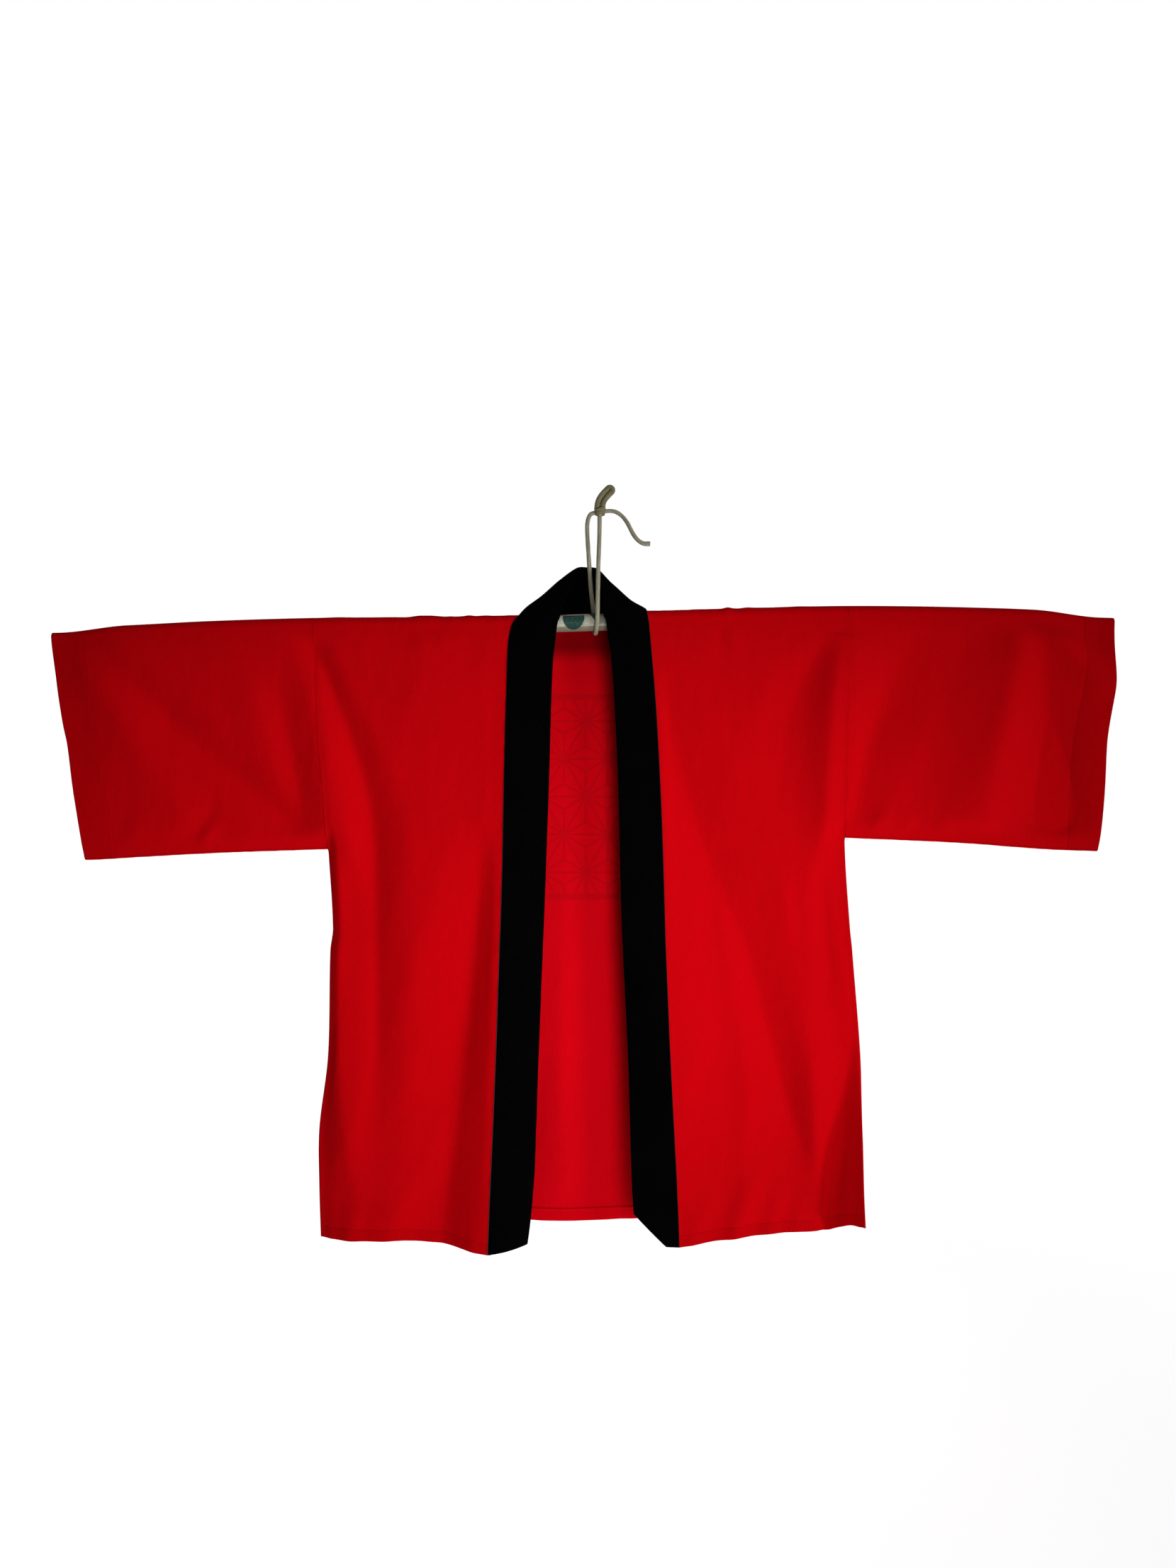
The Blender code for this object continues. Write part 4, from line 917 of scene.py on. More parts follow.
band = {
    "layer": 0.9,    # from the folded band's middle to each of its plies
    "ply": 0.6,      # thickness of a ply
    "pinch": [0.42, 0.58, 0.82, 0.96, 1.0],   # share of the layer at the rows by its two ends
    "upper": [0.07, 0.16, 0.3, 0.45, 0.62, 0.8, 1.0],   # places of the stops from the rod to the arm's corner
    "lower": 13, "ends": [0.0, 0.15, 0.6, 1.5, 2.6], "step": 2.8,
    "outerColumns": 20, "foldColumns": 4, "innerColumns": 11, "measured": 10,
    # how far the bottom end rises at the folded edge, and from what share of the width
    "lift": {"Right": 4.0, "Left": 33.0}, "square": {"Right": 0.0, "Left": 0.3}, "liftOver": 62.0,
}


def bandStops():
    # seam, crest and folded edge down each front and round the neck, in millimetres
    runs = {}
    for side in (-1, 1):
        name = word(side)
        end = read(hemLine, "front" + name, 1.0)
        axis = rodDrop(edges["seam" + name][1])
        drop = np.concatenate([[axis], mix(axis, cornerDrop(side), np.array(band["upper"])),
                               mix(cornerDrop(side) + 4, end, np.linspace(0, 1, band["lower"]))[1:]])
        level = np.maximum(levelOf(drop, axis), 0.0)
        seamX = read(edges, "seam" + name, level) - side * cloth["collarGap"] / 2
        depth = read(hang["front" + name], "seam", drop) + 0.25 + shoulder(drop - axis)
        freeX = read(freeEdge, "free" + name, drop)
        turn = read(freeEdge, "turn" + name, drop)
        runs[side] = np.stack([np.stack([seamX, -depth, drop], -1),
                               np.stack([mix(seamX, freeX, 0.5), -depth + turn / 4, drop], -1),
                               np.stack([freeX, -depth + turn, drop], -1)], 1)
    behind = []
    for part in ("seam", "crest", "free"):
        x = np.array(neck[part + "X"])
        behind.append(np.stack([x, neck[part + "Y"], rodDrop(x) - np.array(neck[part + "Up"])], -1))
    return np.concatenate([runs[-1][::-1], np.stack(behind, 1), runs[1]])


def bandLine(stops, part, at):
    # the band's seam (0), crest (1) or folded edge (2) at places counted in stops
    keys = np.arange(len(stops))
    return np.stack([through(keys, stops[:, part, axis], at) for axis in range(3)], -1)


def bandMiddle():
    # the band's middle surface, from the seam to the folded edge in each row, and those shares
    stops = bandStops()
    dense = np.linspace(0, len(stops) - 1, 3000)
    have = lengths(bandLine(stops, 1, dense))
    ends = np.array(band["ends"])
    body = np.linspace(4.0, have[-1] - 4.0, int(have[-1] / band["step"]))
    at = np.interp(np.concatenate([ends, body, have[-1] - ends[::-1]]), have, dense)
    parts = np.stack([bandLine(stops, part, at) for part in range(3)], 1)
    share = np.concatenate([np.linspace(0, 0.06, 4), np.linspace(0.06, 1, band["outerColumns"] - 3)[1:]])
    weights = np.stack([(1 - share) * (1 - 2 * share), 4 * share * (1 - share), share * (2 * share - 1)])
    middle = np.einsum("pc,rpa->rca", weights, parts)
    for side in (-1, 1):
        name = word(side)
        front = (np.sign(middle[:, :1, 0]) == side) & (middle[..., 2] > 300)
        square = band["square"][name]
        lift = band["lift"][name] * np.clip((share - square) / (1 - square), 0, 1)
        aboveEnd = (middle[..., 2] - read(hemLine, "front" + name, 1.0) + band["liftOver"]) / band["liftOver"]
        middle[..., 2] -= front * lift * np.clip(aboveEnd, 0, 1)
    # soft unevenness, with finer puckers beside the seam
    out = outward(middle, -1)
    here = lengths(middle[:, band["measured"]])[:, None] + 0 * share
    seed = seeds["band"]
    bump = 0.55 * wander(here, share * 40, 46, 30, seed) + 0.25 * wander(here, share * 40, 17, 22, seed + 1)
    fine = 0.35 * wander(here, share, 8, 3, seed + 2) * np.exp(-(share / 0.12) ** 2)
    bump = bump * soft(share / 0.15) + fine
    fixed = soft(np.minimum(here, here[-1] - here) / 20)
    return middle + out * (bump * fixed)[..., None], share


def makeBand(materials):
    middle, share = bandMiddle()
    out = outward(middle, -1)
    rows = len(middle)
    near = np.minimum(np.arange(rows), np.arange(rows)[::-1])
    pinch = np.interp(near, range(len(band["pinch"])), band["pinch"])[:, None]
    layer = band["layer"] * pinch
    ply = mix(0.72, 1.0, soft(share / 0.06))[None] * layer
    outer = middle + out * ply[..., None]
    edge = middle[:, -1]
    on = edge - middle[:, -2]
    on /= np.linalg.norm(on, axis=1, keepdims=True)
    angle = np.linspace(math.pi / 2, -math.pi / 2, band["foldColumns"] + 2)[1:-1]
    turning = out[:, -1:] * np.sin(angle)[:, None] + on[:, None] * np.cos(angle)[:, None]
    fold = edge[:, None] + layer[..., None] * turning
    pick = np.linspace(len(share) - 1, 0, band["innerColumns"]).round().astype(int)
    inner = (middle - out * ply[..., None])[:, pick]
    grid = np.concatenate([outer, fold, inner], 1)
    run = lengths(middle[:, band["measured"]])[:, None]
    wide = np.linalg.norm(np.diff(grid, axis=1), axis=-1)
    across = np.concatenate([np.zeros((rows, 1)), np.cumsum(wide, 1)], 1)
    cut = np.stack([run + 0 * across, across], -1) * mm
    return clothPiece("clothCollar", spot(*np.moveaxis(grid, -1, 0)), cut, materials, wall=band["ply"])


# cords and rod: the cords' routes are in millimetres from the hanging point

rod = {
    "radius": 10.6, "rise": 0.6, "sides": 72, "step": 3.0,
    "slack": 0.12, "wrinkle": 0.1,        # the paper's unevenness round the bar
    "endRound": 0.8, "endOver": 1.2,      # its rounded ends
}
slingFront = [(-13.1, -0.2, -29.4), (-13.2, -2.2, -46.0), (-13.7, -4.3, -66.0), (-14.6, -7.2, -90.0),
              (-15.2, -9.8, -113.0), (-15.7, -13.0, -139.0)]
slingUnder = {"fromX": -16.2, "toX": -19.8, "steps": 8}
slingBack = [(-20.8, 13.6, -146.0), (-23.4, 11.6, -123.6), (-25.6, 8.8, -93.6), (-27.0, 6.2, -72.4),
             (-28.2, 3.6, -51.3), (-27.8, 1.8, -38.6), (-24.6, 0.6, -30.4), (-19.8, 0.0, -28.2),
             (-15.8, 0.0, -27.4)]
loopMiddle = [(-13.3, 0.0, -24.6), (-11.8, 0.0, -15.4), (-9.0, 0.0, -9.8), (-5.0, 0.0, -4.8),
              (-0.6, 0.0, -0.4)]
tail = [(-9.6, 0.0, -26.6), (-5.7, 0.0, -26.2), (0.5, -0.6, -26.0), (7.0, -1.6, -27.6), (14.0, -2.8, -32.6),
        (20.0, -4.2, -40.4), (24.4, -5.4, -49.0), (28.4, -6.4, -56.6), (33.6, -7.4, -63.2),
        (40.0, -8.2, -67.2), (48.2, -9.0, -67.8)]
tailShape = ([0, 0.9, 0.97, 1.0], [0.9, 1.0, 1.12, 1.05])   # slimmer by the knot, thicker at its end
cord = {
    "wide": 5.5, "loopWide": 6.9, "loopHalf": 3.3, "bite": 0.3, "strands": 8, "lead": 1.75, "relief": 0.5,
    "step": 0.45, "sides": 36, "uneven": 0.035,
}
knot = {
    "centre": (-12.6, 0.0, -27.0), "reach": 4.7, "deep": 4.0, "wide": 5.5, "turns": 1.9, "start": 0.35,
    "from": 1.08, "to": 0.86, "rise": 5.0, "tilt": 0.14, "stops": 40,
}


def braid(name, route, wide, material, shape=None):
    # a braided cord: two sets of strands that pass over and under each other
    path = smoothRoute(route, cord["step"])
    side, up = frames(path)
    have = lengths(path)[:, None]
    angle = np.linspace(0, 2 * math.pi, cord["sides"], endpoint=False)[None]
    turn = angle * cord["strands"] / (2 * math.pi)
    lead = cord["lead"] * mm
    u = turn + have / lead
    v = turn - have / lead
    over = (np.floor(u) + np.floor(v)) % 2 == 0
    first = 1 - (2 * (u - np.floor(u)) - 1) ** 2
    second = 1 - (2 * (v - np.floor(v)) - 1) ** 2
    height = np.where(over, first ** 0.6 * second ** 0.3, second ** 0.6 * first ** 0.3)
    uneven = 1 + cord["uneven"] * wander(have / mm, 0 * have, 9.0, 5.0, seeds[name])
    swell = 1 if shape is None else np.interp(have / have[-1], *shape)
    radius = wide / 2 * uneven * swell - cord["relief"] * (1 - height)
    ring = side[:, None] * np.cos(angle)[..., None] + up[:, None] * np.sin(angle)[..., None]
    rings = path[:, None] + ring * radius[..., None] * mm
    piece = tubeMesh(name, rings, path, [material])
    flat = np.stack([have + 0 * angle, angle * wide / 2 * mm + 0 * have, height], -1)
    addCut(piece, np.concatenate([flat.reshape(-1, 3), [[0, 0, 0.5], [have[-1, 0], 0, 0.5]]]))
    return piece, path


def slingRoute():
    # down in front, half round under the rod, and up behind
    reach = rod["radius"] + cord["wide"] / 2 - cord["bite"]
    share = np.linspace(0, 1, slingUnder["steps"] + 1)
    angle = mix(-math.pi / 2, math.pi / 2, share)
    x = mix(slingUnder["fromX"], slingUnder["toX"], share)
    z = coat["z"] - rodDrop(x - coat["x"]) + rod["rise"] - reach * np.cos(angle)
    return slingFront + list(zip(x, reach * np.sin(angle), z)) + slingBack


def loopRoute():
    # up one side of the bight, round its top and down the other
    middle = smoothRoute(loopMiddle, 2.6) / mm
    tangent = np.gradient(middle, axis=0)
    tangent /= np.linalg.norm(tangent, axis=1, keepdims=True)
    across = np.stack([tangent[:, 2], 0 * tangent[:, 0], -tangent[:, 0]], -1) * cord["loopHalf"]
    angle = np.linspace(0, math.pi, 9)[1:-1, None]
    top = middle[-1] - across[-1] * np.cos(angle) + tangent[-1] * cord["loopHalf"] * np.sin(angle)
    return np.concatenate([middle - across, top, (middle + across)[::-1]])


def knotRoute():
    # turns that close in round the neck of the loop
    share = np.linspace(0, 1, knot["stops"])
    angle = knot["start"] + share * knot["turns"] * 2 * math.pi
    reach = knot["reach"] * mix(knot["from"], knot["to"], share)
    centre = knot["centre"]
    x = centre[0] + reach * np.cos(angle)
    y = centre[1] - knot["deep"] / knot["reach"] * reach * np.sin(angle)
    z = centre[2] + knot["rise"] * (0.5 - share) + knot["tilt"] * (x - centre[0])
    return np.stack([x, y, z], -1)


plainPaper = 9.0   # a place on the flat paper far from its printed patch


def makeRod(materials):
    # paper-covered round bar, its paper pulled round with small flats and wrinkles
    x = np.arange(rodBow["x"][1], rodBow["x"][-2] + 0.01, rod["step"])[:, None]
    angle = np.linspace(0, 2 * math.pi, rod["sides"], endpoint=False)[None]
    radius = rod["radius"] - rod["slack"] + rod["wrinkle"] * wander(x, angle * 11, 22, 9, seeds["paper"])
    end = np.minimum(x - x[0], x[-1] - x)
    radius = radius - rod["endRound"] * (1 - soft(end / rod["endOver"]))
    axis = rodDrop(x) - rod["rise"]
    points = spot(x + 0 * angle, -radius * np.sin(angle), axis - radius * np.cos(angle))
    path = spot(x[:, 0], 0, axis[:, 0])
    piece = tubeMesh("paperRod", points, path, materials)
    flat = np.stack([x * mm + 0 * angle, angle * rod["radius"] * mm + 0 * x], -1).reshape(-1, 2)
    addCut(piece, np.concatenate([flat, [[x[0, 0] * mm, plainPaper], [x[-1, 0] * mm, plainPaper]]]))
    return piece


flap = {"from": -24.0, "to": -1.0, "start": 0.52, "off": 0.05, "long": 3.4, "wall": 0.12}


def makeFlap(materials):
    # the paper's free edge, which stands a little off the bar underneath
    x = np.linspace(flap["from"], flap["to"], 24)[:, None]
    share = np.linspace(0, 1, 8)[None]
    angle = flap["start"]
    radius = rod["radius"] + flap["off"]
    ragged = 1 + 0.12 * wander(x, 0 * x, 6, 6, seeds["flap"])
    sag = 0.5 * share ** 2 * (1 + wander(x, 0 * x, 9, 6, seeds["flap"] + 1))
    drop = rodDrop(x) - rod["rise"] + radius * math.cos(angle) + share * flap["long"] * math.sin(angle) * 0.25
    points = spot(x, share * flap["long"] * ragged - radius * math.sin(angle), drop + sag)
    flat = np.stack([x * mm + 0 * share, share * flap["long"] * mm + 0 * x + plainPaper], -1)
    return clothPiece("paperEdge", points, flat, materials, wall=flap["wall"])


# materials

class Wire:
    # a socket; an expression with one adds its Math nodes
    def __init__(self, paint, socket):
        self.paint = paint
        self.socket = socket

    def math(self, kind, other=None, swap=False):
        values = [self] if other is None else [self, other]
        if swap:
            values.reverse()
        return self.paint.node("ShaderNodeMath", {"operation": kind}, dict(enumerate(values)))

    def __add__(self, other):
        return self.math("ADD", other)

    def __sub__(self, other):
        return self.math("SUBTRACT", other)

    def __rsub__(self, other):
        return self.math("SUBTRACT", other, swap=True)

    def __mul__(self, other):
        return self.math("MULTIPLY", other)

    def __truediv__(self, other):
        return self.math("DIVIDE", other)

    def __rtruediv__(self, other):
        return self.math("DIVIDE", other, swap=True)

    __radd__ = __add__
    __rmul__ = __mul__


class Nodes:
    # the nodes of a material or of the world
    def __init__(self, tree):
        self.tree = tree

    def node(self, kind, settings=None, values=None, out=0):
        made = self.tree.nodes.new(kind)
        for name, value in (settings or {}).items():
            setattr(made, name, value)
        for name, value in (values or {}).items():
            self.give(made.inputs[name], value)
        return Wire(self, made.outputs[out])

    def give(self, socket, value):
        if isinstance(value, Wire):
            self.tree.links.new(value.socket, socket)
        else:
            socket.default_value = value


class Paint(Nodes):
    # one material and what its parts are often made of
    def __init__(self, name):
        self.material = bpy.data.materials.new(name)
        self.material.use_nodes = True
        super().__init__(self.material.node_tree)
        self.shader = self.tree.nodes["Principled BSDF"]

    def set(self, **values):
        for name, value in values.items():
            self.give(self.shader.inputs[name.replace("_", " ")], value)

    def blend(self, share, low, high):
        return self.node("ShaderNodeMix", {"data_type": "RGBA"}, {0: share, 6: low, 7: high}, 2)

    def noise(self, where, scale, detail=2.0, rough=0.5):
        return self.node("ShaderNodeTexNoise", None,
                         {"Vector": where, "Scale": scale, "Detail": detail, "Roughness": rough})

    def streaks(self, where, size, detail=3.0, rough=0.6):
        # noise with its own scale across and down the cloth
        stretched = self.node("ShaderNodeVectorMath", {"operation": "MULTIPLY"}, {0: where, 1: (*size, 1.0)})
        return self.noise(stretched, 1.0, detail, rough)

    def step(self, value, low, high):
        return self.node("ShaderNodeMapRange", {"interpolation_type": "SMOOTHSTEP"},
                         {"Value": value, "From Min": low, "From Max": high})

    def split(self, where):
        first = self.node("ShaderNodeSeparateXYZ", None, {0: where})
        return [Wire(self, output) for output in first.socket.node.outputs]

    def cut(self):
        return self.node("ShaderNodeAttribute", {"attribute_name": "cut"}, None, 1)

    def bump(self, height):
        heights = {"Height": height, "Distance": 1.0, "Strength": 1.0}
        self.set(Normal=self.node("ShaderNodeBump", None, heights))


def linear(level):
    share = level / 255
    return share / 12.92 if level <= 10 else ((share + 0.055) / 1.055) ** 2.4


def rgb(red, green, blue):
    # a colour from its levels as seen on a screen, 0 to 255
    return linear(red), linear(green), linear(blue), 1.0


# the cloth's threads and roughness: sizes in metres, noises as scales across and down the cloth
weave = {
    "across": 0.00046, "down": 0.00052, "deep": 0.00005,
    "slubAcross": (60.0, 1100.0), "slubDown": (1100.0, 60.0), "slubDeep": 0.00006,
    "patch": 9.0, "crumple": (70.0, 44.0), "crumpleDeep": 0.0009, "fine": 260.0, "fineDeep": 0.00008,
}
# the last two: how strongly shade is painted where the cloth is doubled, and the shade's colour
red = {
    "deep": (0.56, 0.0, 0.0024, 1.0), "light": (0.66, 0.0007, 0.0048, 1.0), "rough": 0.84, "sheen": 0.10,
    "sheenColour": (1.0, 0.012, 0.02, 1.0), "gloss": 0.012, "paintedShade": 0.18, "dense": (0.36, 0.0, 0.001, 1.0),
}
# the inside face is painted lighter, as light coming through the cloth, with less painted shade where doubled
redInsidePaintedLight = dict(red, deep=(0.67, 0.0001, 0.005, 1.0), light=(0.79, 0.001, 0.008, 1.0), paintedShade=0.07)


def weaveHeight(paint, where):
    # plain weave: threads across and threads down, over and under in turn
    x, y = paint.split(where)[:2]
    sineX = (x * (math.pi / weave["across"])).math("SINE")
    sineY = (y * (math.pi / weave["down"])).math("SINE")
    turn = sineX * sineY * 0.5
    upX = sineX.math("ABSOLUTE") * (turn + 1)
    upY = sineY.math("ABSOLUTE") * (1 - turn)
    return upX.math("MAXIMUM", upY)


def cotton(name, look, dye=None):
    paint = Paint(name)
    where = paint.cut()
    height = weaveHeight(paint, where)
    slubAcross = paint.streaks(where, weave["slubAcross"])
    slubDown = paint.streaks(where, weave["slubDown"])
    patch = paint.noise(where, weave["patch"])
    grain = (slubAcross + slubDown) * 0.5
    share = paint.step(grain * 0.75 + patch * 0.25, 0.1, 0.9)
    colour = paint.blend(share, look["deep"], look["light"])
    # painted shade: the red goes darker where the cloth is doubled at hems, cuffs and seams
    colour = paint.blend(paint.split(where)[2] * look["paintedShade"], colour, look["dense"])
    # dye also paints the shadow below the rod on the back's inside face
    if dye is not None:
        colour = dye(paint, where, colour)
    crumple = paint.streaks(where, weave["crumple"], 4.0, 0.55)
    fine = paint.noise(where, weave["fine"])
    paint.set(Base_Color=colour, Roughness=paint.step(patch, 0.2, 0.8) * 0.06 + look["rough"],
              Sheen_Weight=look["sheen"], Sheen_Tint=look["sheenColour"], Sheen_Roughness=0.45,
              Specular_IOR_Level=look["gloss"])
    paint.bump(height * weave["deep"] + grain * weave["slubDeep"] + crumple * weave["crumpleDeep"]
               + fine * weave["fineDeep"])
    return paint.material


# the back's dye print: a bordered block of hemp-leaf lattice, and a shadow painted on the inside face below
# the rod

printed = {
    "middle": (0.002, 0.212), "half": (0.126, 0.127), "leaf": 0.054, "line": 0.036, "border": 0.0075,
    "ink": rgb(20, 15, 18), "outside": 0.94, "inside": 0.15,   # the ink, and its strength on each face
    "edge": 0.0005, "lineEdge": 0.008,                         # softness of the borders and of the lines
    # the shadow painted on the inside face just below the rod: where it starts and ends, its colour and
    # strength
    "rodShadeFrom": 0.024, "rodShadeTo": 0.05, "neck": rgb(112, 0, 8), "rodShadeShare": 0.8,
}


def leafLattice(paint, where):
    # triangles whose corners are joined to their middles
    size = printed["leaf"]
    x, y = paint.split(where)[:2]
    u = (x - printed["middle"][0]) / size
    v = (y - printed["middle"][1]) / (size * math.sqrt(3) / 2)
    first = u - v * 0.5
    second = v
    third = 0 - first - second
    parts = [part.math("FRACT") for part in (first, second, third)]
    flip = (parts[0] + parts[1] + parts[2]).math("GREATER_THAN", 1.5)
    parts = [part + flip * (1 - part * 2) for part in parts]
    low = parts[0].math("MINIMUM", parts[1].math("MINIMUM", parts[2]))
    high = parts[0].math("MAXIMUM", parts[1].math("MAXIMUM", parts[2]))
    middle = 1 - low - high
    near = (low * 1.1).math("MINIMUM", (middle - low) * 0.62)
    wide = printed["line"]
    edge = printed["lineEdge"]
    return x, y, 1 - paint.step(near, wide - edge, wide + edge)


def printMask(paint, where):
    x, y, line = leafLattice(paint, where)
    sideways = (x - printed["middle"][0]).math("ABSOLUTE") - printed["half"][0]
    upright = (y - printed["middle"][1]).math("ABSOLUTE") - printed["half"][1]
    away = sideways.math("MAXIMUM", upright)
    edge = printed["edge"]
    inside = 1 - paint.step(away, -edge, edge)
    field = 1 - paint.step(away, -printed["border"] - edge, edge - printed["border"])
    rim = inside - field
    return (rim + field * line).math("MINIMUM", 1.0)


def printOutside(paint, where, colour):
    return paint.blend(printMask(paint, where) * printed["outside"], colour, printed["ink"])


def printAndShadeInside(paint, where, colour):
    # what the dye lets through to the other face
    colour = paint.blend(printMask(paint, where) * printed["inside"], colour, printed["ink"])
    # the rod's shadow, painted on the back's inside just below the rod
    drop = paint.split(where)[1]
    paintedShade = 1 - paint.step(drop, printed["rodShadeFrom"], printed["rodShadeTo"])
    return paint.blend(paintedShade * printed["rodShadeShare"], colour, printed["neck"])


black = {
    "deep": (0.0003, 0.0003, 0.0004, 1.0), "light": (0.0016, 0.0016, 0.0019, 1.0), "rough": 0.88,
    "sheen": 0.006, "sheenColour": (0.5, 0.5, 0.52, 1.0), "gloss": 0.012,
    "patch": 14.0, "grain": (900.0, 130.0), "grainDeep": 0.00005, "crumple": (40.0, 70.0),
    "crumpleDeep": 0.0007,
    "dust": rgb(110, 108, 108), "specks": (300.0, 500.0), "dustShare": 0.012,
    # worn and the keys after it: a pale line painted along the band's seam edge as a highlight
    "worn": rgb(118, 78, 86), "seamHighlightMost": 0.5, "seamHighlightLeast": 0.1, "seamHighlightFrom": 0.35, "seamHighlightTo": 0.65,
    "seamHighlightWide": (0.0005, 0.0009),
}


def bandCotton():
    paint = Paint("blackBandCotton")
    where = paint.cut()
    height = weaveHeight(paint, where)
    patch = paint.noise(where, black["patch"], 3.0, 0.6)
    grain = paint.streaks(where, black["grain"])
    share = paint.step(grain * 0.5 + patch * 0.5, 0.34, 0.7)
    colour = paint.blend(share * 0.6, black["deep"], black["light"])
    dust = paint.step(paint.streaks(where, black["specks"], 4.0, 0.7), 0.56, 0.7)
    colour = paint.blend(dust * black["dustShare"], colour, black["dust"])
    # a pale line is painted along the seam's edge as a highlight, most on the wearer's right
    along, across = paint.split(where)[:2]
    worn = 1 - paint.step(along, black["seamHighlightFrom"], black["seamHighlightTo"])
    worn = worn * black["seamHighlightMost"] + black["seamHighlightLeast"]
    colour = paint.blend((1 - paint.step(across, *black["seamHighlightWide"])) * worn, colour, black["worn"])
    crumple = paint.streaks(where, black["crumple"], 4.0, 0.55)
    paint.set(Base_Color=colour, Roughness=black["rough"], Sheen_Weight=black["sheen"],
              Sheen_Tint=black["sheenColour"], Sheen_Roughness=0.5, Specular_IOR_Level=black["gloss"])
    paint.bump(height * weave["deep"] + grain * black["grainDeep"] + crumple * black["crumpleDeep"])
    return paint.material


# between: the colour of the shade painted in the hollows between a braid's strands
cordLooks = {
    "cordCotton": {
        "deep": rgb(160, 155, 128), "light": rgb(196, 192, 168), "soil": rgb(132, 125, 94),
        "between": rgb(72, 67, 46),
    },
    "cordCottonWorn": {
        "deep": rgb(134, 127, 94), "light": rgb(160, 153, 120), "soil": rgb(112, 104, 68),
        "between": rgb(56, 51, 30),
    },
}


def cordCotton(name, look):
    paint = Paint(name)
    where = paint.cut()
    height = paint.split(where)[2]
    tone = paint.streaks(where, (900.0, 900.0))
    fibre = paint.streaks(where, (2600.0, 6200.0), 2.0, 0.5)
    colour = paint.blend(paint.step(tone, 0.3, 0.7), look["deep"], look["light"])
    soil = paint.step(paint.streaks(where, (60.0, 60.0), 2.0, 0.5), 0.45, 0.75)
    colour = paint.blend(soil * 0.4, colour, look["soil"])
    # painted shade in the hollows between the braid's strands
    colour = paint.blend(1 - paint.step(height, 0.1, 0.75), colour, look["between"])
    paint.set(Base_Color=colour, Roughness=0.85, Sheen_Weight=0.15, Sheen_Roughness=0.4,
              Specular_IOR_Level=0.15)
    paint.bump(fibre * 0.00009 + tone * 0.00006)
    return paint.material


# the rod's paper; the patch's places are in metres from the coat's middle and up from the bar's front
paper = {
    "cream": rgb(206, 206, 190), "dull": rgb(160, 158, 138), "beige": rgb(122, 106, 87),
    "beigeShare": 0.8, "beigeTop": -0.0052, "beigeSolid": -0.0064,
    "teal": rgb(0, 60, 54), "tealLight": rgb(52, 104, 96), "ragged": 0.10,
}
roundPatch = {"x": -0.0128, "up": 0.0022, "wide": 0.0137, "high": 0.0128, "top": 0.0094, "narrowing": 22.0}
leaningPatch = {"slope": 0.66, "start": 0.0132, "bottom": -0.0034, "soft": 0.0008, "fade": (0.014, 0.020)}


def tealPatch(paint, where, x, up):
    # two plain shapes side by side, with ragged edges
    edge = (paint.noise(where, 900.0, 2.0, 0.6) - 0.5) * paper["ragged"]
    across = (x - roundPatch["x"]) / roundPatch["wide"] * (1.12 - up * roundPatch["narrowing"])
    along = (up - roundPatch["up"]) / roundPatch["high"]
    first = 1 - paint.step(across * across + along * along + edge, 0.94, 1.06)
    first = first * (1 - paint.step(up, roundPatch["top"], roundPatch["top"] + 0.0006))
    lean = x + up * leaningPatch["slope"] + edge * 0.004
    start = leaningPatch["start"]
    bottom = leaningPatch["bottom"]
    second = paint.step(lean, start, start + leaningPatch["soft"])
    second = second * paint.step(up, bottom, bottom + leaningPatch["soft"])
    second = second * (1 - paint.step(x, *leaningPatch["fade"]) * 0.45)
    return first.math("MAXIMUM", second)


def rodPaper():
    # cream paper with a plain printed patch of teal at the middle
    paint = Paint("rodPaper")
    where = paint.cut()
    x, y = paint.split(where)[:2]
    fibre = paint.streaks(where, (160.0, 420.0), 4.0, 0.6)
    stain = paint.noise(where, 30.0, 3.0, 0.55)
    colour = paint.blend(paint.step(fibre * 0.5 + stain * 0.5, 0.36, 0.66), paper["dull"], paper["cream"])
    up = rod["radius"] * mm * math.pi / 2 - y
    lower = 1 - paint.step(up, paper["beigeSolid"], paper["beigeTop"])
    colour = paint.blend(lower * paper["beigeShare"], colour, paper["beige"])
    stripe = 1 - paint.step((up + 0.0010).math("ABSOLUTE"), 0.0001, 0.0004)
    ink = paint.blend(stripe * 0.7, paper["teal"], paper["tealLight"])
    worn = paint.step(paint.noise(where, 500.0, 3.0, 0.6), 0.4, 0.6) * 0.06 + 0.92
    colour = paint.blend(tealPatch(paint, where, x, up) * worn, colour, ink)
    paint.set(Base_Color=colour, Roughness=0.6, Specular_IOR_Level=0.14)
    paint.bump(fibre * 0.00012 + stain * 0.0003)
    return paint.material


def thread(name, colour):
    paint = Paint(name)
    tone = paint.noise(paint.node("ShaderNodeNewGeometry"), 900.0)
    bright = tuple(min(1, value * 1.5) for value in colour[:3]) + (1,)
    paint.set(Base_Color=paint.blend(paint.step(tone, 0.3, 0.7), colour, bright), Roughness=0.8,
              Specular_IOR_Level=0.02)
    return paint.material


# light and stage

